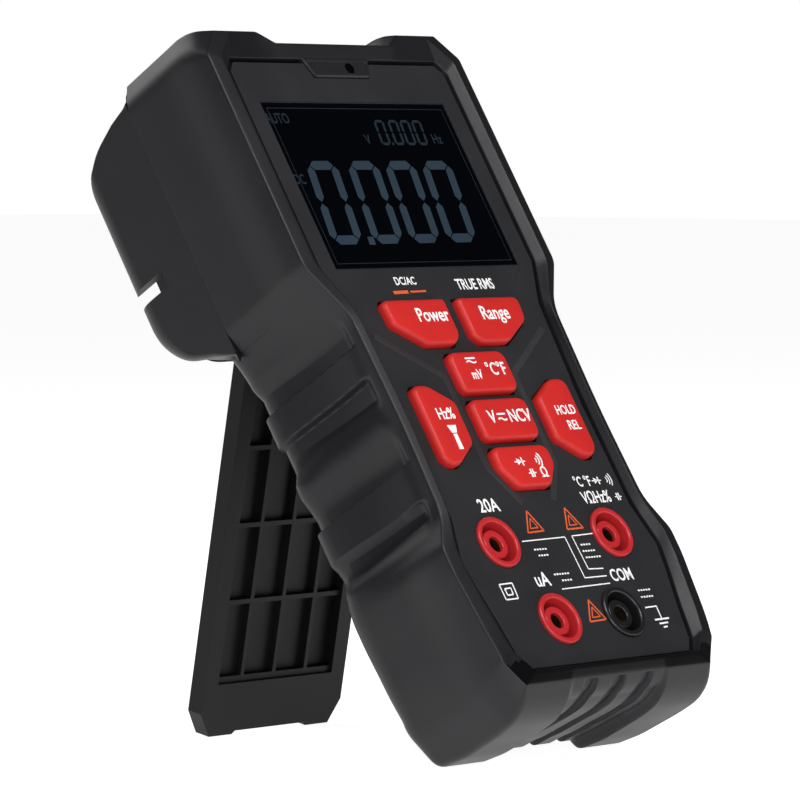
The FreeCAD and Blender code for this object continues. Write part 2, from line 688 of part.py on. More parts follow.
def display():
    half = d.window_half - d.lens_fit
    lens_top = -d.lens_sunk
    keep("display_lens", box("lens", -half, half, d.window_low + d.lens_fit,
                             d.window_high - d.lens_fit, lens_top - d.lens_thick, lens_top))
    glass_half = d.window_half + d.glass_margin
    low, high = d.window_low - d.glass_foot, d.window_high + d.glass_margin
    glass_top = -d.panel_thick - d.stack_gap
    glass_low = glass_top - d.glass_thick
    keep("lcd_glass", box("glass", -glass_half, glass_half, low, high, glass_low, glass_top))
    light_top = glass_low - d.stack_gap
    keep("backlight", box("light", -glass_half, glass_half, d.window_low - 1, high,
                          light_top - d.light_thick, light_top))
    keep("zebra_strip", box("zebra", 1 - glass_half, glass_half - 1, low + 0.3,
                            low + 0.3 + d.zebra_width, -d.board_depth, glass_low))
    inner = glass_half + d.frame_fit
    frame_low, frame_high, outer = frame_limits()
    frame = box("frame_block", -outer, outer, frame_low, frame_high, -d.board_depth, glass_top)
    room = box("frame_room", -inner, inner, low - d.frame_fit, high + d.frame_fit,
               -d.board_depth - 1, glass_top + 1)
    keep("lcd_frame", cut("frame", frame, [room]))


# ---------------------------------------------------------------- keys

def key_cap(node, points):
    """A cap through the panel, with a flange under the panel that holds it in."""
    body = doc.addObject("PartDesign::Body", node.title().replace("_", "") + "Body")
    flange_low = -d.panel_thick - d.key_gap - d.key_flange_thick
    flange = body_sketch(body, "Flange", flange_low)
    draw_polygon(flange, grown(points, d.key_flange))
    pad(body, flange, d.key_flange_thick, "FlangePad")
    cap = body_sketch(body, "Cap", flange_low + d.key_flange_thick)
    draw_polygon(cap, points)
    block = pad(body, cap, d.key_height + d.panel_thick + d.key_gap, "CapPad")
    doc.recompute()
    edges = [f"Edge{index}" for index, edge in enumerate(block.Shape.Edges, start=1)
             if all(abs(v.Z - SIZES["key_height"]) < 1e-6 for v in edge.Vertexes)]
    rounded = body.newObject("PartDesign::Fillet", "CapFillet")
    rounded.Base = (block, edges)
    bind(rounded, {"Radius": d.key_round})
    keep(node, body)


def key_bottom():
    return -d.panel_thick - d.key_gap - d.key_flange_thick


def membrane_top():
    return key_bottom() - d.key_travel - d.membrane_gap


def keypad_membrane():
    top = membrane_top()
    keep("keypad_membrane", box("membrane", -d.membrane_half, d.membrane_half, -d.membrane_low,
                                d.membrane_top, top - d.membrane_thick, top))


def key_switches():
    switches = []
    top = membrane_top() - d.membrane_thick - d.switch_gap
    for node, points in KEYS.items():
        x, y = middle(points)
        case = box("switch_case", x - d.switch_half, x + d.switch_half, y - d.switch_half,
                   y + d.switch_half, -d.board_depth, d.switch_height - d.board_depth)
        plunger = rod("switch_plunger", d.plunger_radius, x, y, -d.board_depth, top)
        switches.append(fuse("switch", [case, plunger]))
    keep("key_switches", group("switches", switches))


# ---------------------------------------------------------------- sockets

def jack_housing(node, x, y):
    """A shrouded socket: an outer tube with a flange, and a post inside it for the sleeve."""
    body = doc.addObject("PartDesign::Body", node.title().replace("_", "") + "Body")
    profile = body_sketch(body, "Profile", role="XZ_Plane")
    floor = -d.jack_depth
    draw_polygon(profile, [
        (d.sleeve_radius, floor - d.jack_floor), (d.jack_radius, floor - d.jack_floor),
        (d.jack_radius, 0), (d.jack_radius + d.jack_lip, 0),
        (d.jack_radius + d.jack_lip, d.ring_height), (d.jack_radius - d.jack_wall, d.ring_height),
        (d.jack_radius - d.jack_wall, floor), (d.post_radius, floor),
        (d.post_radius, -d.post_sunk), (d.sleeve_radius, -d.post_sunk)])
    turned = body.newObject("PartDesign::Revolution", "Turned")
    turned.Profile = profile
    turned.ReferenceAxis = (profile, ["V_Axis"])
    turned.Angle = 360
    keep(node, body, Placement(Vector(x.value, y.value, 0), Rotation()))


def jack_sleeves():
    sleeves = []
    for x, y in JACKS.values():
        low = -d.jack_depth - d.jack_floor - d.sleeve_tail
        tube = rod("sleeve", d.sleeve_radius, x, y, low, -d.sleeve_sunk)
        bore = rod("plug_bore", d.plug_radius, x, y, -d.jack_depth, 1)
        sleeves.append(cut("sleeve_tube", tube, [bore]))
    keep("jack_sleeves", group("sleeves", sleeves))


# ---------------------------------------------------------------- board

def main_board():
    low = -d.board_depth - d.board_thick
    blank = prism("board_blank", cavity_outline(-d.board_fit), low, -d.board_depth, True)
    holes = [rod("jack_hole", d.jack_radius + d.board_hole_fit, x, y, low - 1, 1 - d.board_depth)
             for x, y in JACKS.values()]
    holes += [rod("boss_hole", d.boss_radius + d.board_hole_fit, x, y, low - 1, 1 - d.board_depth)
              for x, y, seat in SCREWS]
    keep("main_board", cut("board", blank, holes))


def board_parts():
    under = -d.board_depth - d.board_thick
    keep("measuring_chip", box("chip", -d.chip_half, d.chip_half, d.chip_high - d.chip_half,
                               d.chip_high + d.chip_half, under - d.chip_thick, under))
    keep("buzzer", rod("buzzer_can", d.buzzer_radius, d.buzzer_radius * 3, d.chip_high,
                       under - d.buzzer_height, under))
    fuses, clips = [], []
    axis_z = under - d.clip_wall - d.fuse_radius
    half = d.fuse_length / 2
    for place in (0, 1):
        y = -d.fuse_low - place * d.fuse_pitch
        fuses.append(cross_rod("fuse", d.fuse_radius, -half, half, y, axis_z))
        reach = d.fuse_radius + d.clip_wall
        for side in SIDES:
            block = side_box("clip_block", side, half - d.clip_width - 1, half - 1, y - reach,
                             y + reach, axis_z - 1, under)
            clips.append(cut("clip", block, [cross_rod(
                "clip_room", d.fuse_radius, -half - 1, half + 1, y, axis_z)]))
    keep("fuses", group("fuse_pair", fuses))
    keep("fuse_clips", group("clip_set", clips))
    span, low = d.shunt_span / 2, under - d.shunt_drop
    y = -d.jack_high - 8
    legs = [rod("shunt_leg", d.shunt_radius, side * span, y, low, under) for side in SIDES]
    bar = cross_rod("shunt_bar", d.shunt_radius, -span - d.shunt_radius, span + d.shunt_radius, y, low)
    keep("current_shunt", fuse("shunt", legs + [bar]))
    discs = [cross_rod("disc", d.disc_radius, side * 20 - d.disc_thick / 2,
                       side * 20 + d.disc_thick / 2, d.disc_radius + 4, under - d.disc_radius)
             for side in SIDES]
    keep("surge_discs", group("disc_pair", discs))
    top = d.head_top - d.dip_drop + 0.4
    lamp = long_rod("torch_lamp", d.torch_radius, 0, top - d.torch_length, top, -d.torch_depth)
    foot = box("torch_foot", -d.torch_radius, d.torch_radius, top - d.torch_length,
               top - d.torch_length + 3, -d.torch_depth, under)
    keep("torch_lamp", fuse("torch", [lamp, foot]))
    keep("field_antenna", side_box("antenna", -1, 6, 6 + 2 * d.antenna_half,
                                   d.head_top - d.top_wall - 6, d.head_top - d.top_wall - 6
                                   + d.antenna_thick, under - d.antenna_height, under))
    keep("indicator_lamp", rod("lamp", d.lamp_radius, d.lamp_side, d.lamp_high, -d.board_depth,
                               -d.sensor_thick - d.lamp_fit - d.stack_gap))


# ---------------------------------------------------------------- battery

def battery():
    z = -d.bay_depth - d.cell_gap - d.cell_radius
    cells, contacts = [], []
    end = d.bay_half - d.contact_gap
    for place in range(3):
        y = cell_y(place)
        cells.append(cross_rod("cell", d.cell_radius, -d.cell_half, d.cell_half, y, z))
        for side in SIDES:
            leaf = side_box("contact_leaf", side, end - d.contact_thick, end,
                            y - d.contact_half, y + d.contact_half, z - d.contact_half,
                            z + d.contact_half)
            nub = side_rod("contact_nub", side, d.contact_half / 2, d.cell_half,
                           end - d.contact_thick / 2, y, z)
            contacts.append(fuse("contact", [leaf, nub]))
    keep("battery_cells", group("cells", cells))
    keep("battery_contacts", group("contacts", contacts))


def battery_door():
    body = doc.addObject("PartDesign::Body", "DoorBody")
    half = d.bay_half + d.door_side - d.door_fit
    sketch = body_sketch(body, "DoorOutline", -d.bulge_depth)
    draw_polygon(sketch, [
        (half, d.bay_high + d.door_margin - d.door_fit),
        (half, d.bay_low - d.door_margin + d.door_fit)], True)
    pad(body, sketch, d.door_thick - 0.05)
    holes = body_sketch(body, "DoorHoles", d.door_thick - d.bulge_depth + 1)
    heads = body_sketch(body, "DoorHeads", d.door_head_thick - d.bulge_depth)
    for side in SIDES:
        draw_circle(holes, side * d.door_screw_half, cell_y(1), d.door_screw_radius + d.door_fit)
        draw_circle(heads, side * d.door_screw_half, cell_y(1), d.door_screw_head + d.door_fit)
    pocket(body, holes, d.door_thick + 2, "DoorHolePocket")
    pocket(body, heads, d.door_head_thick + 1, "DoorHeadPocket")
    keep("battery_door", body)


# ---------------------------------------------------------------- screws and pins

def screws():
    case_screws = []
    for x, y, seat in SCREWS:
        shaft = rod("screw_shaft", d.screw_radius, x, y, seat - 1, seat + d.screw_length)
        head = rod("screw_head", d.screw_head, x, y, seat - d.head_thick, seat)
        case_screws.append(fuse("screw", [shaft, head]))
    keep("case_screws", group("case_screw_set", case_screws))
    door_screws = []
    seat = d.door_head_thick - d.bulge_depth
    for side in SIDES:
        x = side * d.door_screw_half
        shaft = rod("door_shaft", d.door_screw_radius, x, cell_y(1), -d.bulge_depth + 0.1,
                    -d.bulge_depth + d.door_screw_length)
        head = rod("door_head", d.door_screw_head, x, cell_y(1), -d.bulge_depth + 0.1, seat)
        door_screws.append(fuse("door_screw", [shaft, head]))
    keep("door_screws", group("door_screw_set", door_screws))


def stand_pins():
    pins = [side_rod("pin", side, d.pin_radius, d.pocket_half - d.pin_reach,
                     d.pocket_half + d.pin_grip, d.hinge_high, -d.hinge_depth) for side in SIDES]
    keep("stand_pins", group("pins", pins))


# ---------------------------------------------------------------- stand

def stand_length():
    """From the hinge to the end of the foot, so that the foot's edge and the case share a floor."""
    lean, splay = math.radians(SIZES["lean"]), math.radians(SIZES["stand_open"] - SIZES["lean"])
    floor = -(SIZES["base_low"] + SIZES["base_drop"] - SIZES["base_lift"]) * math.cos(lean)
    floor -= SIZES["back_depth"] * math.sin(lean)
    hinge = SIZES["hinge_high"] * math.cos(lean) - SIZES["hinge_depth"] * math.sin(lean)
    return (hinge - floor - SIZES["stand_thick"] / 2 * math.sin(splay)) / math.cos(splay)


def kickstand():
    """Modelled folded flat, with the hinge's axis on X: it hangs down -Y, its ribs facing +Z."""
    body = doc.addObject("PartDesign::Body", "StandBody")
    reach = size(stand_length())
    low, high = -d.stand_thick / 2, d.stand_thick / 2
    outline = body_sketch(body, "StandOutline", low)
    draw_polygon(outline, [
        (d.stand_half, 0), (d.stand_half, d.foot_run - reach),
        (d.lug_half, -reach), (d.notch_half + 1, -reach), (d.notch_half, d.notch_rise - reach)], True)
    pad(body, outline, d.stand_thick)
    barrel = body_sketch(body, "Barrel", role="YZ_Plane")
    draw_circle(barrel, 0, 0, d.stand_thick / 2)
    both_ways(pad(body, barrel, d.stand_half * 2, "BarrelPad"))
    trough = body_sketch(body, "Trough", high)
    inner = d.stand_half - d.rail
    draw_polygon(trough, [(inner, -d.barrel_land), (inner, d.foot_plain - 1 - reach)], True)
    pocket(body, trough, d.rib_drop, "TroughPocket")
    cells = body_sketch(body, "Cells", high - d.rib_drop)
    cell_low = d.foot_plain + d.rib / 2 - reach
    cell_high = cell_low + d.rib_pitch - d.rib
    gap = d.rib / 2
    for side in SIDES:
        for x_inner, x_outer in ((gap, d.rib_gap - gap), (d.rib_gap + gap, inner)):
            draw_polygon(cells, [(side * x_inner, cell_high), (side * x_outer, cell_high),
                                 (side * x_outer, cell_low), (side * x_inner, cell_low)])
    first = pocket(body, cells, d.stand_thick - d.rib_drop - d.skin, "CellPocket")
    bore = body_sketch(body, "PinBore", role="YZ_Plane")
    draw_circle(bore, 0, 0, d.pin_radius + d.pin_fit)
    rows = body.newObject("PartDesign::LinearPattern", "CellRows")
    rows.Originals = [first]
    rows.Direction = (cells, ["V_Axis"])
    rows.Length = 0
    rows.Occurrences = 4
    bind(rows, {"Length": d.rib_pitch * 3})
    body.Tip = rows
    both_ways(pocket(body, bore, d.stand_half * 2 + 1, "PinBorePocket"))
    turn = Placement(Vector(0, SIZES["hinge_high"], -SIZES["hinge_depth"]),
                     Rotation(X_AXIS, SIZES["stand_open"]))
    keep("kickstand", body, turn)


# ---------------------------------------------------------------- build

front_shell()
rear_shell()
front_panel()
sensor_window()
display()
for key_node, key_points in KEYS.items():
    key_cap(key_node, key_points)
keypad_membrane()
key_switches()
for jack_node, (jack_x, jack_y) in JACKS.items():
    jack_housing(jack_node, jack_x, jack_y)
jack_sleeves()
main_board()
board_parts()
battery()
battery_door()
screws()
stand_pins()
kickstand()
doc.recompute()

LEAN_BACK = Placement(Vector(), Rotation(X_AXIS, 90 - SIZES["lean"]))
for part, local in sub_parts.values():
    part.Placement = LEAN_BACK.multiply(local)
doc.recompute()

whole = FreeCAD.BoundBox()
for part, local in sub_parts.values():
    whole.add(part.Shape.optimalBoundingBox(False))
SHIFT = Placement(Vector(0, -whole.Center.y, -whole.ZMin), Rotation())
for part, local in sub_parts.values():
    part.Placement = SHIFT.multiply(part.Placement)
doc.recompute()

for obj in doc.Objects:
    if "Invalid" in obj.State or "Error" in obj.State:
        raise RuntimeError(f"{obj.Label} failed: {obj.State}")
for node, (part, local) in sub_parts.items():
    if part.Shape.isNull() or not part.Shape.isValid() or not part.Shape.Solids:
        raise RuntimeError(f"{node} has no valid solid")

os.makedirs("parts", exist_ok=True)
for node, (part, local) in sub_parts.items():
    part.Shape.exportStep(f"parts/{node}.step")
print(len(sub_parts), "sub-parts; box", whole.XLength, whole.YLength, whole.ZLength)
print("moved by", SHIFT.Base)
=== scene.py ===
"""Digital multimeter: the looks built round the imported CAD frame.

Shapes are worked out in the meter's own axes, in millimetres: X to the right, Y up the length
of the meter, Z out of the front panel. One matrix carries them to the standing pose.
"""
import json
import math

import bmesh
import bpy
import numpy as np
from mathutils import Matrix, Vector


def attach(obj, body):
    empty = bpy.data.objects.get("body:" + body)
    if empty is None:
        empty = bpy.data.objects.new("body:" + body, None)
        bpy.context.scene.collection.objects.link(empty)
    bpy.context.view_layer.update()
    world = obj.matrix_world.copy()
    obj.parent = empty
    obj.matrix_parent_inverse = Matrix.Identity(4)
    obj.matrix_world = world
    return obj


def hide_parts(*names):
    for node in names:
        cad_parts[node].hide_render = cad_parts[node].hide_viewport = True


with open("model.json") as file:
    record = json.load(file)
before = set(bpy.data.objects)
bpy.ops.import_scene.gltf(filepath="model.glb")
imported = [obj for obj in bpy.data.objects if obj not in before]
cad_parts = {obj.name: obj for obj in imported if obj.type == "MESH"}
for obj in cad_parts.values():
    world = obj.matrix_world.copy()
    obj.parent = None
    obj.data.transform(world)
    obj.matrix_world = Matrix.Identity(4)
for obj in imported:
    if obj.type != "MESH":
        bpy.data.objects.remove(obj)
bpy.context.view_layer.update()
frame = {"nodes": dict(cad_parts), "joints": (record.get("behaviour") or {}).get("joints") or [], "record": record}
nodes = frame["nodes"]

# ------------------------------------------------------------------ frame of the meter

MM = 0.001
HINGE_Y, HINGE_Z = 42.2, -37.6          # the stand's hinge in the meter's own axes


def meter_matrix():
    """From the meter's axes, in mm, to the row frame, in metres."""
    socket = next(m for m in frame["record"]["mounts"] if m["name"] == "common_socket")
    hinge = next(j for j in frame["joints"] if j["name"] == "stand_fold")
    x_axis = Vector((1, 0, 0))
    z_axis = Vector(socket["axis"]).normalized()
    y_axis = z_axis.cross(x_axis).normalized()
    turn = Matrix((x_axis, y_axis, z_axis)).transposed()
    origin = Vector(hinge["pos_m"]) - (y_axis * HINGE_Y + z_axis * HINGE_Z) * MM
    return np.array(turn) * MM, np.array(origin)


TURN, ORIGIN = meter_matrix()


def to_row(points):
    """Points from the meter's axes to the row frame."""
    return np.asarray(points, float).reshape(-1, 3) @ TURN.T + ORIGIN


# ------------------------------------------------------------------ materials

COAT_ROUGH, BUMP_STRENGTH, CLOUD_SCALE, WEAR = 0.08, 0.6, 60.0, 0.15


def material(name, colour, rough, grain, relief, mottle=0.12, metal=0.0, level=0.5, coat=0.0):
    """A moulded or metal finish: fine grain of the given size in mm, cloudy colour, patchy gloss."""
    made = bpy.data.materials.new(name)
    made.use_nodes = True
    tree = made.node_tree
    tree.nodes.clear()
    out = tree.nodes.new("ShaderNodeOutputMaterial")
    shader = tree.nodes.new("ShaderNodeBsdfPrincipled")
    tree.links.new(shader.outputs[0], out.inputs["Surface"])
    shader.inputs["Metallic"].default_value = metal
    shader.inputs["Specular IOR Level"].default_value = level
    shader.inputs["Coat Weight"].default_value = coat
    shader.inputs["Coat Roughness"].default_value = COAT_ROUGH
    place = tree.nodes.new("ShaderNodeTexCoord")
    fine = tree.nodes.new("ShaderNodeTexNoise")
    fine.inputs["Scale"].default_value = 1 / (grain * MM)
    fine.inputs["Detail"].default_value = 2.0
    tree.links.new(place.outputs["Object"], fine.inputs["Vector"])
    bump = tree.nodes.new("ShaderNodeBump")
    bump.inputs["Strength"].default_value = BUMP_STRENGTH
    bump.inputs["Distance"].default_value = relief * MM
    tree.links.new(fine.outputs[0], bump.inputs["Height"])
    tree.links.new(bump.outputs[0], shader.inputs["Normal"])
    cloud = tree.nodes.new("ShaderNodeTexNoise")
    cloud.inputs["Scale"].default_value = CLOUD_SCALE
    cloud.inputs["Detail"].default_value = 4.0
    tree.links.new(place.outputs["Object"], cloud.inputs["Vector"])
    ramp = tree.nodes.new("ShaderNodeValToRGB")
    ramp.color_ramp.elements[0].position = 0.3
    ramp.color_ramp.elements[1].position = 0.7
    ramp.color_ramp.elements[0].color = (*[c * (1 - mottle) for c in colour], 1)
    ramp.color_ramp.elements[1].color = (*[min(1, c * (1 + mottle)) for c in colour], 1)
    tree.links.new(cloud.outputs[0], ramp.inputs["Fac"])
    tree.links.new(ramp.outputs[0], shader.inputs["Base Color"])
    gloss = tree.nodes.new("ShaderNodeMapRange")
    gloss.inputs["To Min"].default_value = max(0.02, rough * (1 - WEAR))
    gloss.inputs["To Max"].default_value = min(1.0, rough * (1 + WEAR))
    tree.links.new(cloud.outputs[0], gloss.inputs["Value"])
    tree.links.new(gloss.outputs[0], shader.inputs["Roughness"])
    return made


FINISH = {
    "bumper": material("case_plastic", (0.0056, 0.0054, 0.0072), 0.43, 0.30, 0.018, level=0.32),
    # the strip round the foot is glossier than the case, and its darker colour is painted shade
    "glossy_foot_painted_shade": material("glossy_foot_painted_shade", (0.0030, 0.0030, 0.0036), 0.16, 0.30, 0.004, level=0.20),
    "panel": material("panel_plastic", (0.0155, 0.0155, 0.0172), 0.60, 0.22, 0.008, level=0.20),
    # lighter than the panel: a painted highlight on the sloped bands beside the keys
    "panel_edge": material("panel_edge", (0.0215, 0.0215, 0.0235), 0.55, 0.22, 0.008, level=0.25),
    "stand_plastic": material("stand_plastic", (0.0048, 0.0047, 0.0055), 0.46, 0.35, 0.014,
                              level=0.20),
    "smoked_window": material("smoked_window", (0.013, 0.013, 0.014), 0.30, 0.5, 0.004,
                              level=0.25),
    "clear_window": material("clear_window", (0.0009, 0.0011, 0.0018), 0.12, 2.0, 0.001,
                             level=0.02, mottle=0.05),
    "lcd": material("lcd_dark", (0.004, 0.005, 0.007), 0.10, 2.0, 0.001, level=0.2),
    "light_guide": material("light_guide", (0.75, 0.78, 0.80), 0.30, 1.0, 0.004),
    "silicone": material("silicone_grey", (0.22, 0.22, 0.23), 0.65, 0.3, 0.010),
    "dark_frame": material("dark_frame", (0.012, 0.012, 0.013), 0.55, 0.3, 0.010),
    "red_key": material("key_red", (0.47, 0.0165, 0.0145), 0.44, 0.25, 0.008, mottle=0.05,
                        level=0.28),
    "red_plastic": material("jack_red", (0.42, 0.017, 0.021), 0.34, 0.4, 0.006, mottle=0.05,
                            level=0.4),
    "black_plastic": material("jack_black", (0.007, 0.007, 0.008), 0.32, 0.4, 0.008),
    "switch_metal": material("switch_metal", (0.55, 0.56, 0.58), 0.32, 0.2, 0.006, metal=1.0),
    "brass": material("brass", (0.12, 0.082, 0.042), 0.48, 0.15, 0.006, metal=1.0),
    "board_green": material("board_green", (0.012, 0.10, 0.035), 0.38, 0.6, 0.010, coat=0.3),
    "ceramic": material("ceramic_white", (0.72, 0.70, 0.66), 0.35, 0.3, 0.006),
    "copper_wire": material("copper_wire", (0.72, 0.32, 0.18), 0.25, 0.2, 0.006, metal=1.0),
    "disc_blue": material("disc_blue", (0.02, 0.08, 0.32), 0.35, 0.5, 0.010),
    "cell_metal": material("cell_jacket", (0.35, 0.36, 0.38), 0.25, 0.6, 0.004, metal=0.6),
    "spring_steel": material("spring_steel", (0.62, 0.61, 0.58), 0.22, 0.15, 0.004, metal=1.0),
    "screw_steel": material("screw_steel", (0.30, 0.30, 0.31), 0.35, 0.15, 0.008, metal=1.0),
    "print_white": material("print_white", (0.80, 0.80, 0.80), 0.50, 0.2, 0.004, mottle=0.03),
    "print_orange": material("print_orange", (0.62, 0.09, 0.02), 0.50, 0.2, 0.004, mottle=0.05),
    "segment_blue": material("segment_blue", (0.021, 0.034, 0.047), 0.30, 2.0, 0.001,
                             mottle=0.06, level=0.05),
    "segment_faint": material("segment_faint", (0.013, 0.020, 0.027), 0.30, 2.0, 0.001,
                              mottle=0.06, level=0.05),
    "lens_edge": material("lens_edge", (0.017, 0.019, 0.026), 0.18, 0.8, 0.004, mottle=0.2),
}


# ------------------------------------------------------------------ meshes

MERGE, TINY = 1e-7, 1e-9                # points nearer than MERGE, in m, are one


def link(name, data):
    """A new object in the scene."""
    made = bpy.data.objects.new(name, data)
    bpy.context.scene.collection.objects.link(made)
    return made


def clean_mesh(name, verts, faces, finishes=(), finish_of=None):
    """A mesh in the row frame, with doubled points merged and its faces turned outwards."""
    mesh = bpy.data.meshes.new(name)
    mesh.from_pydata(verts.tolist(), [], faces)
    for finish in finishes:
        mesh.materials.append(FINISH[finish])
    if finish_of is not None:
        mesh.polygons.foreach_set("material_index", finish_of.astype(int).tolist())
    shape = bmesh.new()
    shape.from_mesh(mesh)
    bmesh.ops.remove_doubles(shape, verts=shape.verts, dist=MERGE)
    bmesh.ops.recalc_face_normals(shape, faces=shape.faces)
    shape.to_mesh(mesh)
    shape.free()
    return mesh


def add_piece(name, verts, faces, body, finishes, slot, sharp, row=False, finish_of=None):
    """A closed mesh in the meter's axes, or in the row frame, which rides on a body.

    finishes is one name, or two with finish_of as the number of the finish of each face. Edges
    that turn by more than sharp, in degrees, stay sharp.
    """
    finishes = (finishes,) if isinstance(finishes, str) else finishes
    mesh = clean_mesh(name, verts if row else to_row(verts), faces, finishes, finish_of)
    mesh.polygons.foreach_set("use_smooth", [True] * len(mesh.polygons))
    mesh.set_sharp_from_angle(angle=math.radians(sharp))
    piece = link(name, mesh)
    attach(piece, body)
    return piece


def grid_faces(rows, columns, close_rows=False, first=0):
    """Quads of a grid whose columns close on themselves."""
    faces = []
    for row in range(rows if close_rows else rows - 1):
        here, after = first + row * columns, first + (row + 1) % rows * columns
        for column in range(columns):
            right = (column + 1) % columns
            faces.append((here + column, here + right, after + right, after + column))
    return faces


def stacked(rings):
    """Points and faces of a closed body whose sections are rings of equal length."""
    columns = len(rings[0])
    last = (len(rings) - 1) * columns
    faces = grid_faces(len(rings), columns)
    faces += [tuple(range(columns)), tuple(range(last, last + columns))]
    return np.vstack(rings), faces


def at_height(flat, z):
    """A flat outline lifted to a height, or to a height for each point."""
    return np.column_stack([flat, np.broadcast_to(z, len(flat))])


def soften(corners, soft, steps, cuts):
    """Round the corners of many closed polylines at once.

    corners is (corners, lines, dimensions), soft the distance from each corner at which it
    starts to round, and cuts the number of pieces of the straight run after each corner.
    """
    corners = np.asarray(corners, float)
    total = len(corners)
    soft = [np.broadcast_to(np.asarray(s, float), corners.shape[1:2]) for s in soft]
    bends = []
    for i, here in enumerate(corners):
        after = (i + 1) % total
        back, ahead = corners[i - 1] - here, corners[after] - here
        back_len = np.linalg.norm(back, axis=-1) + TINY
        ahead_len = np.linalg.norm(ahead, axis=-1) + TINY
        share_back = back_len * soft[i] / (soft[i] + soft[i - 1] + 1e-6)
        share_ahead = ahead_len * soft[i] / (soft[i] + soft[after] + 1e-6)
        start = here + back * (np.minimum(soft[i], share_back) / back_len)[..., None]
        end = here + ahead * (np.minimum(soft[i], share_ahead) / ahead_len)[..., None]
        bend = [here]
        if np.max(soft[i]) >= 1e-6:
            bend = [(1 - t) ** 2 * start + 2 * t * (1 - t) * here + t * t * end
                    for t in np.linspace(0, 1, steps + 1)]
        bends.append((start, bend, end))
    made = []
    for i, (start, bend, end) in enumerate(bends):
        run = bends[(i + 1) % total][0] - end
        made += bend + [end + run * step / cuts[i] for step in range(1, cuts[i])]
    return np.array(made)


def ring(points, soft, cuts, steps):
    """A closed outline with rounded corners, as (points, 2)."""
    return soften(np.asarray(points, float)[:, None, :], soft, steps, cuts)[:, 0, :]


def mirrored(half):
    """A closed outline from its right half."""
    half = np.asarray(half, float)
    return np.vstack([half, half[::-1] * (-1, 1)])


def outward(points):
    """Unit normals of a closed outline that runs clockwise."""
    along = np.roll(points, -1, axis=0) - np.roll(points, 1, axis=0)
    along /= np.linalg.norm(along, axis=1)[:, None] + 1e-12
    normals = np.stack([-along[:, 1], along[:, 0]], axis=1)
    area = np.sum(points[:, 0] * np.roll(points[:, 1], -1)
                  - np.roll(points[:, 0], -1) * points[:, 1])
    return normals if area < 0 else -normals


# ------------------------------------------------------------------ outlines, as in the CAD

HEAD_HALF, HEAD_TOP, WAIST_HALF, BACK_HALF = 44.5, 98.5, 35.5, 40.9
FLARE_HALF, TAPER_HALF, FOOT_HALF, BASE_HALF, BASE_LOW = 40.9, 39.0, 37.6, 33.0, 77.5
DIP_HALF = 20.5
SEAM_Y, SEAM_Z, BACK_Z = 28.0, -29.0, -34.6
SEAM_STEP, SEAM_SHARE, NECK_RUN = 0.02, 0.44, 12.5  # the step's half width, place and run
GROOVE = 1.1                            # width of the groove round the panel


def with_seam(points):
    """Adds two close points on the run below the head, where the case's rear edge steps."""
    top, low = points[4], points[5]
    step = SEAM_STEP / NECK_RUN
    near = [top + (low - top) * (SEAM_SHARE - step), top + (low - top) * (SEAM_SHARE + step)]
    return np.vstack([points[:5], near, points[5:]])


def rim_half(out=0.0, top=0.0, low=0.0, rear=0.0, foot=0.0, waist=0.0):
    """The right half of the case's outline, from the dip in the top down to the base.

    out, top, low, foot and waist push it outwards, and rear blends it to the straight back.
    """
    def half(width):
        return width + out + rear * (BACK_HALF - width)

    return with_seam(np.array([
        (DIP_HALF, HEAD_TOP - 3.0 + top * 0.4), (DIP_HALF + 4.5, HEAD_TOP + top),
        (HEAD_HALF - 5.9 + out + top * 0.62, HEAD_TOP + top),
        (HEAD_HALF + out, HEAD_TOP - 6.8 + top * 1.2),
        (HEAD_HALF + out, 33.5), (half(WAIST_HALF + 1.0) + waist, 21.0),
        (half(WAIST_HALF) + waist, -8.0),
        (half(WAIST_HALF + 0.7) + waist, -32.5), (half(FLARE_HALF), -41.5), (half(FLARE_HALF), -48.0),
        (half(TAPER_HALF) + foot * 0.6, -64.0),
        (FOOT_HALF + out + foot + rear * (TAPER_HALF - FOOT_HALF), -71.0 - low * 0.6),
        (BASE_HALF + out + foot, -BASE_LOW - low)]))


def panel_half(out):
    """The right half of the panel's outline, pushed outwards."""
    top, head, waist, flare = HEAD_TOP - 7.6, HEAD_HALF - 6.4, WAIST_HALF - 3.6, FLARE_HALF - 6.4
    return with_seam(np.array([
        (DIP_HALF, top + out), (DIP_HALF + 4.5, top + out), (head - 2.2 + out * 0.6, top + out),
        (head + out, top - 2.6 + out * 0.6), (head + out, 34.0), (waist + 1.6 + out, 22.5),
        (waist + out, -5.0), (waist + 0.3 + out, -33.5), (flare + 0.8 + out, -44.5),
        (flare - 0.3 + out, -52.0), (TAPER_HALF - 6.6 + out, -61.0), (FOOT_HALF - 6.5 + out, -70.0),
        (BASE_HALF - 3.9 + out * 0.6, 4.3 - BASE_LOW - out * 0.4)]))


def cavity_half():
    """The right half of the room inside the case."""
    return with_seam(np.array([
        (DIP_HALF, 93.0), (DIP_HALF + 4.5, 93.0), (39.5, 93.0), (41.5, 89.0), (41.5, 34.5),
        (33.3, 21.0), (32.87, -8.0), (32.5, -32.5), (37.7, -41.5), (37.7, -50.0), (35.4, -65.0),
        (34.2, -68.6), (32.4, -73.9)]))


# ------------------------------------------------------------------ front half of the case

# How far each corner of the half outline is rounded: on the walls, and on the crisp rim.
CORNER = [0.8, 1.2, 0.5, 2.4, 1.2, 0.0, 0.0, 4.0, 8.0, 5.0, 2.5, 3.0, 4.0, 2.2, 1.6]
CRISP = [0.4, 0.4, 0.4, 0.8, 1.6, 0.0, 0.0, 4.0, 8.0, 3.0, 1.5, 1.5, 3.0, 0.4, 0.4]
ROUND_STEPS = 7
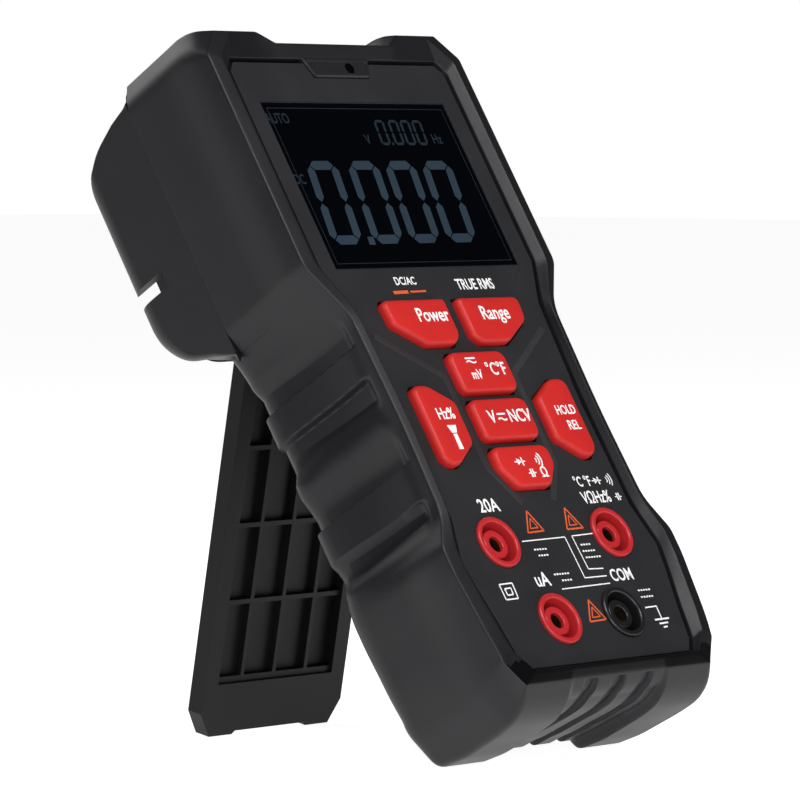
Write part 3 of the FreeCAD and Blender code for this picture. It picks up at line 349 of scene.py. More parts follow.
# Pieces of each straight run, which are fine where the grips and the end grooves need them.
SIDE_CUTS = [4, 8, 4, 46, 5, 1, 16, 80, 70, 14, 8, 16, 8, 8]
BASE_CUTS, TOP_CUTS = 200, 30
GRIPS = ((5.7, 13.2), (-10.5, -2.3), (-27.1, -17.9))
GRIP_LEAN, RIB_OUT, HOLLOW_IN = 0.054, 0.3, 1.75
GRIP_LOW, GRIP_HIGH = -34.5, 21.0
END_GROOVES, END_GROOVE_HALF, END_GROOVE_DEPTH, END_DISH_HALF = (-10.0, 0.0, 10.0), 1.9, 1.3, 16.2


def loop(half, z, soft=None):
    """A level of the case as (points, 3)."""
    soft = soft or CORNER
    cuts = SIDE_CUTS + [BASE_CUTS] + SIDE_CUTS[::-1] + [TOP_CUTS]
    return at_height(ring(mirrored(half), soft + soft[::-1], cuts, 5), z)


def step_up(value, start, width):
    """0 before start, 1 after start + width, smooth between."""
    t = np.clip((value - start) / width, 0, 1)
    return t * t * (3 - 2 * t)


def grip_relief(y, z):
    """How far the side wall is pushed out by the ribs and in by the hollows between them."""
    line = y - GRIP_LEAN * (z + 3.0)
    rib = np.zeros_like(y)
    for low, high in GRIPS:
        rib = np.maximum(rib, step_up(line, low - 1.2, 1.2) * (1 - step_up(line, high, 0.6)))
    zone = step_up(line, GRIP_LOW, 3.0) * (1 - step_up(line, GRIP_HIGH - 2.5, 3.0))
    front = 1 - step_up(z, -3.9, 2.9)
    return zone * front * (rib * RIB_OUT - (1 - rib) * HOLLOW_IN)


def end_relief(x, z):
    """How far the bottom end is hollowed in its middle and along its three grooves."""
    depth = np.interp(-z, [-2.0, 1.0, 4.5, 16.0, 28.0, 34.6], [0, 0.4, 1.9, 2.6, 2.9, 2.2])
    dish = depth * (1 - step_up(np.abs(x), END_DISH_HALF, 1.6))
    cut = np.zeros_like(x)
    for middle in END_GROOVES:
        cut = np.maximum(cut, 1 - step_up(np.abs(x - middle), END_GROOVE_HALF, 0.55))
    return dish + END_GROOVE_DEPTH * cut * step_up(-z, -0.6, 1.2)


LEDGE_Z, SEAT_Z, GROOVE_Z, CREST_Z = -5.2, -2.4, -1.4, 2.1
PAINTED_SHADE_TOP = -72.0                       # the glossy strip, darker in colour as painted shade, runs round the foot below this height


def case_levels():
    """Levels of the front half: the points, how far they are rounded, and the pieces after them."""
    probe = loop(rim_half(0, 4.0, 3.3, 1), 0.0)
    head = probe[:, 1] > SEAM_Y
    rear_z = np.where(head, SEAM_Z, BACK_Z)
    edge_z = np.interp(probe[:, 1], [-78.0, -68.0], [0.7, 1.35])
    rear_soft = np.where(head, 0.2, np.interp(probe[:, 1], [-81.0, -66.0], [2.2, 6.0]))
    return [
        (loop(panel_half(-1.8), LEDGE_Z), 0.0, 1),                                # ledge below
        (loop(panel_half(-1.8), SEAT_Z), 0.0, 1),                                 # the panel
        (loop(panel_half(0.15), SEAT_Z), 0.0, 1),
        (loop(panel_half(0.15), GROOVE_Z), 0.0, 1),                               # groove
        (loop(panel_half(GROOVE - 0.25), GROOVE_Z), 0.25, 2),
        (loop(panel_half(GROOVE), 0.3, CRISP), 0.2, 4),
        (loop(rim_half(-3.1, -0.7, -3.0, waist=1.5), CREST_Z, CRISP), 0.3, 3),    # crest of the rim
        (loop(rim_half(0.6, 0.35, -0.1), edge_z, CRISP), 0.5, 2),                 # edge of the rim
        (loop(rim_half(0.88, 2.9, 3.8, 0, 0.6), -3.0), 2.4, 3),                   # shoulder
        (loop(rim_half(0.6, 3.9, 5.6, 0.10, 1.0), -7.5), 2.2, 3),
        (loop(rim_half(0.1, 4.0, 5.8, 0.30, 0.9), -13.0), 3.0, 12),               # side wall
        (loop(rim_half(-0.1, 4.0, 5.0, 0.78), np.where(head, -23.5, -26.0)), 2.0, 12),
        (loop(rim_half(-0.25, 4.0, 3.3, 1), rear_z), rear_soft, 2),               # rear edge
        (loop(cavity_half(), rear_z), 0.0, 1),
        (loop(cavity_half(), LEDGE_Z), 0.0, 1),
    ]


def front_case():
    """The front half as one closed band, from the panel's seat over the rim to the rear edge."""
    levels = case_levels()
    crest, edge, inside = 6, 7, 13
    softs, cuts = [level[1] for level in levels], [level[2] for level in levels]
    points = soften([level[0] for level in levels], softs, ROUND_STEPS, cuts)
    rows, columns = points.shape[:2]
    starts = np.cumsum([0] + [(1 if np.max(soft) < 1e-6 else ROUND_STEPS + 1) + cut - 1
                              for soft, cut in zip(softs, cuts)])
    outside = np.zeros((rows, columns), bool)
    outside[starts[crest]:starts[inside]] = True
    x, y, z = points[..., 0], points[..., 1], points[..., 2]
    side = outside & (np.abs(x) > 30) & (y < 30) & (y > -42)
    x = np.where(side, x + np.sign(x) * grip_relief(y, z), x)
    base = outside & (y < -75.0) & (np.abs(x) < 22)
    fade = np.where(z < BACK_Z + 0.3, np.clip((-y - 73.9) / 3.0, 0, 1), 1.0)
    y = np.where(base, y + end_relief(x, z) * fade, y)
    points = np.stack([x, y, z], axis=-1)
    # The strip round the foot, between the rim's crest and edge, takes the glossy finish whose darker colour is
    # painted shade.
    strip = np.zeros((rows, columns), bool)
    strip[starts[crest] + ROUND_STEPS // 2:starts[edge] + ROUND_STEPS // 2] = True
    strip &= y < PAINTED_SHADE_TOP
    shell = add_piece("case_front", points.reshape(-1, 3), grid_faces(rows, columns, True), "case",
                      ("bumper", "glossy_foot_painted_shade"), "bumper", 40, finish_of=strip.reshape(-1))
    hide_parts("front_shell")


# ------------------------------------------------------------------ rear half of the case

SEAM_REAR, BULGE_LOW, BULGE_HIGH, BULGE_BACK = -29.15, 28.12, 102.3, -54.0
# The head's side profile as (y, z), from its lower end round the back to its top.
BULGE_SIDE = [(BULGE_LOW, SEAM_REAR), (31.8, -38.8), (36.2, -48.8), (44.5, BULGE_BACK),
              (87.2, BULGE_BACK), (92.2, -47.6), (96.1, -38.2), (98.9, -31.8), (BULGE_HIGH, SEAM_REAR)]
BULGE_SOFT = [0, 5.0, 5.0, 4.0, 3.5, 4.0, 4.0, 2.6, 0]
BULGE_CUTS = [4, 6, 4, 40, 3, 4, 3, 1, 30]
# Copies of the profile: x, and how far the back, the top and the lower cheek draw in there.
BULGE_ROWS = (
    (0.0, 0, 0, 0), (22.0, 0, 0, 0), (35.0, 0, 0, 0), (37.0, 0.15, 0, 0), (39.0, 0.7, 0.15, 0),
    (40.3, 1.2, 0.4, 0), (41.6, 1.9, 1.6, 0.1), (42.6, 2.8, 2.8, 0.2), (43.3, 3.9, 4.2, 0.35),
    (43.8, 5.2, 5.0, 0.55), (44.05, 7.0, 5.6, 0.8))
# Rooms cut across the middle: half width, then the ends in y and z.
ROOMS = (
    (25.9, 10.0, 46.4, -60.0, -34.9),       # pocket of the folded stand
    (28.8, 49.8, 87.8, -60.0, -52.0),       # recess of the battery door
    (24.4, 51.4, 86.2, -53.0, -39.2),       # bay of the cells
    (41.0, 51.4, 94.0, -37.0, -20.0),       # hollow in front of the bay
    (41.0, 36.0, 51.0, -32.0, -20.0))
PLATE_BACK, PLATE_FRONT, PLATE_HIGH, PLATE_GAP = -34.6, -32.0, 33.0, 0.15
HEAD_SCREW, FOOT_SCREW, DOOR_SCREW = (24.5, 91.2), (31.2, -62.5), (26.8, 68.6)
SCREW_HEAD, SCREW_BORE, DOOR_BORE, PIN_BORE, PIN_SIDES = 2.7, 1.5, 0.95, 1.5, 28
CASE_BEVEL = 0.45


def box_mesh(x_low, x_high, y_low, y_high, z_low, z_high):
    """Corners and faces of a box."""
    corners = [(x, y, z) for x in (x_low, x_high) for y in (y_low, y_high) for z in (z_low, z_high)]
    return corners, [(0, 1, 3, 2), (4, 6, 7, 5), (0, 4, 5, 1), (2, 3, 7, 6), (0, 2, 6, 4), (1, 5, 7, 3)]


def rod_mesh(radius, x, y, z_low, z_high, steps=32):
    """A cylinder along Z."""
    turns = np.linspace(0, 2 * math.pi, steps, endpoint=False)
    return stacked([[(x + radius * math.cos(t), y + radius * math.sin(t), end) for t in turns]
                    for end in (z_low, z_high)])


def cross_rod_mesh(radius, x_low, x_high, y, z):
    """A cylinder along X."""
    turns = np.linspace(0, 2 * math.pi, PIN_SIDES, endpoint=False)
    return stacked([[(end, y + radius * math.cos(t), z + radius * math.sin(t)) for t in turns]
                    for end in (x_low, x_high)])


def bulge_mesh():
    """A pillow through copies of the side profile, which shrink towards the side walls."""
    profile = ring(BULGE_SIDE, BULGE_SOFT, BULGE_CUTS, 8)
    normals = outward(profile)
    if normals[len(profile) // 4, 1] > 0:
        normals = -normals
    on_seam = profile[:, 1] > SEAM_REAR - 0.01
    near_seam = np.interp(profile[:, 1], [-47.0, -38.0, -31.6, SEAM_REAR], [0, 0.08, 0.35, 1.0])
    rows = []
    for x, back, crown, cheek in BULGE_ROWS:
        y = profile[:, 0] - near_seam * crown + np.maximum(-normals[:, 0], 0) * cheek
        z = profile[:, 1] + np.maximum(-normals[:, 1], 0) * back
        y = np.where(on_seam, np.clip(y, BULGE_LOW + cheek * 0.3, BULGE_HIGH - crown), y)
        z = np.where(on_seam, profile[:, 1], np.minimum(z, SEAM_REAR))
        rows.append(np.column_stack([np.full(len(profile), x), y, z]))
    return stacked([row * (-1, 1, 1) for row in reversed(rows[1:])] + rows)


def plate_mesh():
    """The thin rear wall below the head."""
    flat = cavity_half()
    flat = flat[flat[:, 1] < PLATE_HIGH] - (PLATE_GAP, 0)
    flat = mirrored(np.vstack([(flat[0, 0] + 3.0, PLATE_HIGH), flat]))
    return stacked([at_height(flat, z) for z in (PLATE_BACK, PLATE_FRONT)])


def even_normals(made):
    """Flat faces keep a flat shade beside the small rounded edges."""
    even = made.modifiers.new("normals", "WEIGHTED_NORMAL")
    even.keep_sharp = True


def rear_cuts():
    """What is cut out of the rear half, as points and faces."""
    cuts = [box_mesh(-half, half, *ends) for half, *ends in ROOMS]
    for side in (-1, 1):
        channel, slot, pin = [sorted((side * near, side * far))
                              for near, far in ((31.0, 41.4), (40.4, 50.0), (24.0, 29.0))]
        cuts.append(box_mesh(*channel, 10.0, 120.0, -60.0, -40.0))
        cuts.append(box_mesh(*slot, 53.0, 57.2, -60.0, -40.0))
        cuts.append(rod_mesh(SCREW_HEAD, side * HEAD_SCREW[0], HEAD_SCREW[1], -60.0, -36.0))
        cuts.append(rod_mesh(SCREW_BORE, side * HEAD_SCREW[0], HEAD_SCREW[1], -37.0, -20.0))
        cuts.append(rod_mesh(DOOR_BORE, side * DOOR_SCREW[0], DOOR_SCREW[1], -60.0, -46.7, 20))
        cuts.append(cross_rod_mesh(PIN_BORE, *pin, HINGE_Y, HINGE_Z))
    for side in (-1, 1):
        cuts.append(rod_mesh(SCREW_HEAD, side * FOOT_SCREW[0], FOOT_SCREW[1], -60.0, -32.4))
        cuts.append(rod_mesh(SCREW_BORE, side * FOOT_SCREW[0], FOOT_SCREW[1], -33.0, -20.0))
    return cuts


def rear_case():
    """The rear half: the pillow with its channels, slots, pocket, bays and screw holes cut out."""
    shell, plate, *tools = [link("rear_case", clean_mesh("rear_case", to_row(verts), faces))
                            for verts, faces in [bulge_mesh(), plate_mesh()] + rear_cuts()]
    for kind, tool in [("UNION", plate)] + [("DIFFERENCE", tool) for tool in tools]:
        step = shell.modifiers.new("cut", "BOOLEAN")
        step.operation, step.object, step.solver = kind, tool, "EXACT"
    bevel = shell.modifiers.new("bevel", "BEVEL")
    bevel.width, bevel.segments, bevel.limit_method = CASE_BEVEL * MM, 3, "ANGLE"
    bevel.angle_limit = math.radians(42)
    bpy.context.view_layer.update()
    mesh = bpy.data.meshes.new_from_object(shell.evaluated_get(bpy.context.evaluated_depsgraph_get()))
    for made in [shell, plate] + tools:
        old = made.data
        bpy.data.objects.remove(made)
        bpy.data.meshes.remove(old)
    verts = np.array([v.co for v in mesh.vertices])
    faces = [tuple(p.vertices) for p in mesh.polygons]
    bpy.data.meshes.remove(mesh)
    made = add_piece("case_rear", verts, faces, "case", "bumper", "bumper", 32, True)
    even_normals(made)
    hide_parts("rear_shell")


# ------------------------------------------------------------------ keys

KEY_TOP, KEY_LOW = 2.2, -3.5
KEY_SKIRT, KEY_ROUND, KEY_CORNER = 0.8, 1.35, 1.5
KEY_DOME = ((0.88, 0.09), (0.7, 0.15), (0.45, 0.19), (0.2, 0.21))   # (share of the outline, lift)


def pair_key(side):
    """Power on the left and range on the right."""
    right = [(2.2, 23.9), (23.3, 23.9), (24.6, 22.4), (24.0, 17.1), (14.6, 11.3), (4.6, 11.3), (2.2, 13.6)]
    return [(side * x, y) for x, y in right]


def mid_key(row, low_cut):
    """The three keys on the centre line, counted from the top."""
    top = 9.2 - row * 12.9
    low = top - 11.2
    right = [(8.5, top), (10.1, top - 1.6), (10.1, low + low_cut), (10.1 - 0.8 * low_cut, low)]
    return right + [(-x, y) for x, y in reversed(right)]


def side_key(side):
    """The tall keys left and right of them."""
    right = [(14.8, -4.0), (22.4, 0.8), (26.2, 0.8), (27.8, -0.8), (27.8, -18.6), (25.6, -20.7),
             (22.6, -20.7), (14.8, -15.4)]
    return [(side * x, y) for x, y in right]


KEYS = {
    "power_key": ("power_button", pair_key(-1)), "range_key": ("range_button", pair_key(1)),
    "temperature_key": ("temperature_button", mid_key(0, 1.6)),
    "voltage_key": ("voltage_button", mid_key(1, 1.6)),
    "continuity_key": ("continuity_button", mid_key(2, 5.4)),
    "frequency_key": ("frequency_button", side_key(-1)), "hold_key": ("hold_button", side_key(1)),
}


def key_cap(node, body, points):
    """A key with a skirt under the panel, a rounded edge and a slightly domed face."""
    points = np.array(points, float)
    area = np.sum(points[:, 0] * np.roll(points[:, 1], -1) - np.roll(points[:, 0], -1) * points[:, 1])
    if area > 0:
        points = points[::-1]
    lengths = np.linalg.norm(np.roll(points, -1, axis=0) - points, axis=1)
    outline = ring(points, [KEY_CORNER] * len(points), [max(1, int(n / 1.2)) for n in lengths], 6)
    normals = outward(outline)
    centre = outline.mean(axis=0)
    section = [(-KEY_SKIRT, KEY_LOW), (-KEY_SKIRT, KEY_LOW + 1), (0, KEY_LOW + 1), (0, 0.5)]
    for turn in np.radians(np.linspace(0, 90, 9)[1:]):
        section.append((KEY_ROUND * (1 - math.cos(turn)) * 0.9,
                        0.5 + (KEY_TOP - 0.72) * math.sin(turn)))
    rings = [at_height(outline - normals * inset, z) for inset, z in section]
    rim, top = rings[-1][:, :2], rings[-1][0, 2]
    for shrink, lift in KEY_DOME:
        rings.append(at_height(centre + (rim - centre) * shrink, top + lift))
    verts, faces = stacked(rings)
    cap = add_piece(node + "_cap", verts, faces, body, "red_key", "red_key", 50)
    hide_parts(node)


# ------------------------------------------------------------------ sockets

JACKS = {
    "current_jack": (-20.5, -40.8, "red_plastic"), "voltage_jack": (20.5, -40.8, "red_plastic"),
    "microamp_jack": (-11.5, -61.6, "red_plastic"), "common_jack": (11.5, -61.6, "black_plastic"),
}


def lathe(name, profile, soft, at, body, finish, slot, steps=72):
    """A closed profile of (radius, z) turned about the socket's axis."""
    section = ring(profile, soft, [1] * len(profile), 5)
    verts = []
    for radius, z in section:
        for turn in np.linspace(0, 2 * math.pi, steps, endpoint=False):
            verts.append((at[0] + radius * math.cos(turn), at[1] + radius * math.sin(turn), z))
    return add_piece(name, np.array(verts), grid_faces(len(section), steps, True), body, finish, slot, 45)


def jack(node, x, y, finish):
    """A shrouded socket: the flange, the deep ring for the shroud and the post in its middle."""
    profile = [(2.5, -21.5), (6.0, -21.5), (6.0, 0.0), (6.6, 0.0), (6.6, 0.95), (5.15, 0.95),
               (5.0, -20.0), (3.75, -20.0), (3.75, -0.5), (2.02, -0.5), (2.02, -1.55), (2.5, -1.55)]
    soft = [0, 0, 0, 0.1, 0.62, 0.62, 0, 0, 0.5, 0.35, 0, 0]
    made = lathe(node + "_housing", profile, soft, (x, y), "case", finish, finish)
    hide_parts(node)


# ------------------------------------------------------------------ display and small window

WINDOW_HALF, WINDOW_LOW, WINDOW_HIGH, LENS_Z = 33.0, 33.2, 80.0, -0.3


def sensor_window():
    """The small window's raised frame, with a sloped inner edge, and the eye behind it."""
    rings = []
    for inset, z in ((0, -1.2), (0, 0.25), (0.45, 0.6), (1.15, 0.6), (1.35, 0.25), (1.6, 0.22)):
        corners = [(12.0 - inset, 92.4 - inset * 0.9), (9.8 - inset * 0.9, 86.9 + inset * 0.9)]
        rings.append(at_height(ring(mirrored(corners), [0.5] * 4, [4, 20, 4, 20], 3), z))
    made = add_piece("sensor_frame", *stacked(rings), "case", "smoked_window", "smoked_window", 25)
    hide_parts("sensor_window")
    lathe("sensor_eye", [(0.0, 0.1), (1.5, 0.1), (1.5, 0.34), (1.1, 0.34), (0.9, 0.26), (0.0, 0.26)],
          [0, 0, 0.1, 0.1, 0.1, 0], (4.0, 89.5), "case", "clear_window", "clear_window", 32)


def prism(points, z_low, z_high, verts, faces):
    """Adds an upright prism to the points and faces given."""
    first = len(verts)
    count = len(points)
    verts += [(x, y, z_low) for x, y in points] + [(x, y, z_high) for x, y in points]
    faces.append(tuple(first + i for i in range(count)))
    faces.append(tuple(first + count + i for i in range(count)))
    for i in range(count):
        after = (i + 1) % count
        faces.append((first + i, first + after, first + count + after, first + count + i))


# The six lit bars of a nought, as the corners of a unit box that each one joins.
SEGMENTS = ((0, 1, 1, 1), (1, 0.5, 1, 1), (1, 0, 1, 0.5), (0, 0, 1, 0), (0, 0, 0, 0.5), (0, 0.5, 0, 1))
# Rows of figures: name, finish, their x, y, (width, height, thickness), lean and decimal point.
DIGITS = (
    ("reading_digits", "segment_blue", (-29.8, -15.3, -2.0, 11.3), 40.2, (10.9, 23.2, 2.5), 0.14,
     [(-17.0, 40.0), (-14.9, 40.0), (-14.6, 42.2), (-16.7, 42.2)]),
    ("small_digits", "segment_faint", (3.6, 8.6, 12.9, 17.2), 67.9, (3.5, 7.2, 0.75), 0.12,
     [(7.4, 67.9), (8.1, 67.9), (8.2, 68.6), (7.5, 68.6)]),
)


def digit(x, y, width, height, thick, lean, verts, faces, z_low, z_high):
    """A nought of pointed bars, with a small gap between them."""
    half, gap = thick / 2, thick * 0.09
    for x0, y0, x1, y1 in SEGMENTS:
        ax, ay = half + x0 * (width - thick), half + y0 * (height - thick)
        bx, by = half + x1 * (width - thick), half + y1 * (height - thick)
        if x0 == x1:
            ay, by = ay + gap, by - gap
            outline = [(ax, ay), (ax + half, ay + half), (ax + half, by - half), (ax, by),
                       (ax - half, by - half), (ax - half, ay + half)]
        else:
            ax, bx = ax + gap, bx - gap
            outline = [(ax, ay), (ax + half, ay + half), (bx - half, ay + half), (bx, ay),
                       (bx - half, ay - half), (ax + half, ay - half)]
        prism([(x + px + lean * py, y + py) for px, py in outline], z_low, z_high, verts, faces)


def display():
    """The figures, units and fine frames that show behind the window."""
    low, high = LENS_Z - 0.02, LENS_Z + 0.03
    for name, finish, figures, y, size, lean, point in DIGITS:
        verts, faces = [], []
        for x in figures:
            digit(x, y, *size, lean, verts, faces, low, high)
        prism(point, low, high, verts, faces)
        add_piece(name, np.array(verts), faces, "case", finish, "lcd", 30)
    write("display_units", "segment_faint", "case", LENS_Z, [
        ("V", -0.6, 69.4, 3.4, 0.8), ("Hz", 24.6, 69.6, 3.4, 0.8),
        ("AUTO", -29.2, 75.2, 3.6, 0.72), ("DC", -31.0, 58.2, 3.4, 0.7)], 0.02)
    verts, faces = [], []
    for inset, edge, lift in ((0.0, 0.3, 0.12), (1.7, 0.16, 0.02)):
        half, low, high = WINDOW_HALF - inset, WINDOW_LOW + inset, WINDOW_HIGH - inset
        box = [(-half, low), (half, low), (half, high), (-half, high)]
        inside = [(x - edge * np.sign(x), y + (edge if y == low else -edge)) for x, y in box]
        for i in range(4):
            after = (i + 1) % 4
            prism([box[i], box[after], inside[after], inside[i]], LENS_Z - 0.1, LENS_Z + lift,
                  verts, faces)
    add_piece("lens_edges", np.array(verts), faces, "case", "lens_edge", "clear_window", 20)


# ------------------------------------------------------------------ legends

LETTER = 1.12                           # the font's letters are smaller than its size


def text_mesh(body, size, squeeze, weight, depth):
    """A word as a thin solid, made narrower by squeeze and bolder by weight."""
    size *= LETTER
    curve = bpy.data.curves.new("legend", "FONT")
    curve.body = body
    curve.size = size
    curve.align_x = "CENTER"
    curve.align_y = "CENTER"
    curve.offset = weight
    curve.extrude = depth
    curve.resolution_u = 3
    holder = link("legend", curve)
    bpy.context.view_layer.update()
    mesh = bpy.data.meshes.new_from_object(holder.evaluated_get(bpy.context.evaluated_depsgraph_get()))
    verts = np.array([v.co for v in mesh.vertices], float).reshape(-1, 3) * (squeeze, 1, 1)
    faces = [tuple(p.vertices) for p in mesh.polygons]
    bpy.data.objects.remove(holder)
    bpy.data.curves.remove(curve)
    bpy.data.meshes.remove(mesh)
    return verts, faces


def write(name, finish, body, z, words, depth, marks=(), weight=0.06):
    """Printed legends as one thin piece: each word is (text, x, y, size, squeeze)."""
    verts, faces = [], []
    for text, x, y, size, squeeze in words:
        at, made = text_mesh(text, size, squeeze, weight * size / 3.5, depth)
        first = len(verts)
        verts += [(x + px, y + py, z + pz) for px, py, pz in at]
        faces += [tuple(first + i for i in face) for face in made]
    for points in marks:
        prism(points, z - depth, z + depth, verts, faces)
    return add_piece(name, np.array(verts), faces, body, finish, None, 30)


def line(x0, y0, x1, y1, thick):
    """A straight stroke as four corners."""
    length = math.hypot(x1 - x0, y1 - y0)
    nx, ny = -(y1 - y0) / length * thick / 2, (x1 - x0) / length * thick / 2
    return [(x0 + nx, y0 + ny), (x1 + nx, y1 + ny), (x1 - nx, y1 - ny), (x0 - nx, y0 - ny)]


def path(points, thick=0.28, closed=False):
    """Strokes from point to point."""
    ends = points + points[:1] if closed else points
    return [line(*a, *b, thick) for a, b in zip(ends, ends[1:])]


def arc(x, y, radius, half, thick):
    """Part of a circle that opens to the right, half degrees up and down."""
    turns = np.radians(np.linspace(-half, half, 7))
    return path([(x + radius * math.cos(t), y + radius * math.sin(t)) for t in turns], thick)


def wave(x, y, width, thick=0.35):
    """One period of an alternating wave."""
    return path([(x + width * (t - 0.5), y + 0.28 * math.sin(2 * math.pi * t))
                 for t in np.linspace(0, 1, 9)], thick)


def diode(x, y, size):
    """Its triangle, bar and lead."""
    return [[(x - size, y + size * 0.8), (x + size * 0.5, y), (x - size, y - size * 0.8)],
            line(x + size * 0.6, y - size, x + size * 0.6, y + size, 0.4),
            line(x - size * 1.8, y, x + size * 1.5, y, 0.3)]


def capacitor(x, y, size):
    """Two plates and their leads."""
    near, far = size * 0.35, size * 1.2
    return [line(x - near, y - size, x - near, y + size, 0.4),
            line(x + near, y - size, x + near, y + size, 0.4),
            line(x - far, y, x - near, y, 0.3), line(x + near, y, x + far, y, 0.3)]


def sound(x, y, *rings):
    """Arcs that spread to the right: each ring is (radius, half angle, thickness)."""
    return sum((arc(x, y, radius, half, thick) for radius, half, thick in rings), [])


# Rows of short dashes in place of fine print: x and y of the middle, and width.
DASHES = ((-6.8, -43.4, 4.6), (-6.8, -45.0, 3.4), (9.6, -43.2, 3.4), (9.9, -44.9, 4.6),
          (10.2, -46.6, 5.0), (-3.6, -50.2, 5.2), (-2.6, -51.9, 3.4), (22.9, -56.4, 4.4),
          (22.9, -58.2, 4.4))
DASH_PITCH, DASH_LONG, DASH_THICK = 0.95, 0.62, 0.42
TRIANGLES = ([(-5.6, -33.2), (-8.5, -38.9), (-2.6, -38.7)], [(8.2, -33.2), (5.7, -38.9), (11.6, -38.8)],
             [(1.6, -57.5), (-1.2, -63.1), (4.8, -62.9)])


def legends():
    """What is printed on the panel: leader lines, symbols, dashes, words and triangles."""
    marks = path([(-11.9, -41.0), (3.6, -40.8), (4.0, -51.8), (12.0, -51.8)])
    marks += path([(14.9, -40.5), (6.2, -40.7), (6.7, -49.6), (12.0, -49.8)])
    marks += path([(-5.7, -54.1), (12.0, -53.8)])
    marks += path([(-26.5, -51.4), (-21.9, -51.3), (-22.1, -55.3), (-26.4, -55.4)], 0.35, True)
    marks += path([(-25.3, -52.6), (-23.1, -52.5), (-23.2, -54.2), (-25.2, -54.3)], 0.35, True)
    marks += path([(20.4, -61.0), (24.6, -60.9), (24.5, -64.3)], 0.35)
    marks += [line(21.9, -64.4, 27.1, -64.3, 0.45), line(22.9, -65.5, 26.1, -65.4, 0.4),
              line(23.8, -66.5, 25.3, -66.4, 0.4)]
    marks += sound(27.2, -26.7, (0.9, 50, 0.3), (1.7, 45, 0.3), (2.5, 40, 0.3))
    marks += diode(24.3, -26.7, 1.0)
    marks += capacitor(29.4, -31.4, 1.0)
    for x, y, width in DASHES:
        marks += [line(x - width / 2 + step, y, x - width / 2 + step + DASH_LONG, y, DASH_THICK)
                  for step in np.arange(0, width, DASH_PITCH)]
    write("panel_print", "print_white", "case", 0.0, [
        ("20A", -17.9, -31.2, 4.4, 0.86), ("uA", -11.2, -51.3, 4.6, 0.86),
        ("COM", 17.4, -52.0, 4.0, 0.78), ("°C °F", 18.9, -26.8, 3.4, 0.72),
        ("VΩHz%", 21.3, -31.2, 4.0, 0.72), ("TRUE RMS", 13.4, 28.2, 3.7, 0.72),
        ("DC/AC", -11.0, 29.6, 2.7, 0.80)], 0.03, marks)
    orange = []
    for points in TRIANGLES:
        centre = np.mean(points, axis=0)
        orange += path(points, 0.42, True)
        orange += path([tuple(centre + (np.array(p) - centre) * 0.48) for p in points], 0.3, True)
    orange.append(line(-16.8, 26.6, -11.6, 26.7, 0.9))
    orange.append(line(-10.8, 26.7, -5.2, 26.8, 0.5))
    write("panel_print_orange", "print_orange", "case", 0.0, [], 0.03, orange)


def key_legends():
    """The words and symbols on the keys, which ride with them."""
    z = KEY_TOP - 0.03
    torch = [[(-22.3, -10.6), (-19.2, -10.6), (-19.9, -12.6), (-21.6, -12.6)],
             [(-21.4, -12.9), (-20.1, -12.9), (-20.1, -17.0), (-21.4, -17.0)]]
    words = {
        "power_key": ([("Power", -9.6, 18.9, 4.7, 0.80)], []),
        "range_key": ([("Range", 12.8, 18.9, 4.7, 0.80)], []),
        "temperature_key": ([("mV", -3.6, 2.4, 3.3, 0.74), ("°C°F", 4.0, 3.6, 4.3, 0.74)],
                            path([(-5.3, 6.9), (-1.9, 6.9)], 0.4) + wave(-3.6, 5.9, 3.4)),
        "voltage_key": ([("V", -5.2, -9.2, 4.3, 0.80), ("NCV", 4.6, -9.2, 4.3, 0.80)],
                        path([(-3.3, -8.4), (-0.3, -8.4)], 0.45) + wave(-1.8, -9.8, 3.0, 0.45)),
        "continuity_key": ([("Ω", 4.1, -24.6, 3.4, 0.85)],
                           diode(-2.6, -21.3, 1.1) + capacitor(-0.1, -24.5, 1.1)
                           + sound(2.4, -21.2, (0.8, 45, 0.35), (1.7, 45, 0.35), (2.6, 45, 0.35))),
        "frequency_key": ([("Hz%", -20.9, -7.6, 3.8, 0.78)], torch),
        "hold_key": ([("HOLD", 22.0, -8.4, 3.2, 0.72), ("REL", 22.6, -12.6, 3.2, 0.78)], []),
    }
    for node, (texts, marks) in words.items():
        write(node + "_legend", "print_white", KEYS[node][0], z, texts, 0.08, marks, 0.045)


def band(points, width, verts, faces, section):
    """A mitred strip along a line; section gives (share of the width, height) going across."""
    points = [Vector(p) for p in points]
    first, count = len(verts), len(section)
    for i, here in enumerate(points):
        before = (here - points[i - 1]).normalized() if i else (points[1] - here).normalized()
        after = (points[i + 1] - here).normalized() if i + 1 < len(points) else before
        across = Vector((-(before + after).y, (before + after).x)).normalized()
        across *= 1 / max(0.4, across.dot(Vector((-after.y, after.x))))
        for share, height in section:
            place = here + across * width * (share - 0.5)
            verts.append((place.x, place.y, height))
    faces += grid_faces(len(points), count, False, first)
    faces.append(tuple(range(first, first + count)))
    last = first + (len(points) - 1) * count
    faces.append(tuple(range(last, last + count)))


def relief():
    """Shallow sloped bands on the panel, left and right of the keys, in a lighter colour that is a painted
    highlight.
    """
    verts, faces = [], []
    for side in (-1, 1):
        points = [(30.6, 15.3), (12.4, 3.4), (12.0, -21.3), (5.6, -31.1)]
        points = [(side * x, y) for x, y in points]
        section = [(0, -0.05), (0, 0.02), (0.92, 0.26), (1, 0.02), (1, -0.05)]
        if side < 0:
            section = [(1 - share, height) for share, height in section]
        band(points, 1.8, verts, faces, section)
    return add_piece("panel_relief", np.array(verts), faces, "case", "panel_edge", "panel", 20)


# ------------------------------------------------------------------ carried-over CAD nodes

def round_edges(node, width, segments, angle):
    """Small rounded edges on a carried-over node, in mm and degrees."""
    weld = nodes[node].modifiers.new("weld", "WELD")
    weld.merge_threshold = 1e-6
    bevel = nodes[node].modifiers.new("bevel", "BEVEL")
    bevel.width = width * MM
    bevel.segments = segments
    bevel.limit_method = "ANGLE"
    bevel.angle_limit = math.radians(angle)
    bevel.miter_outer = "MITER_ARC"
    even_normals(nodes[node])


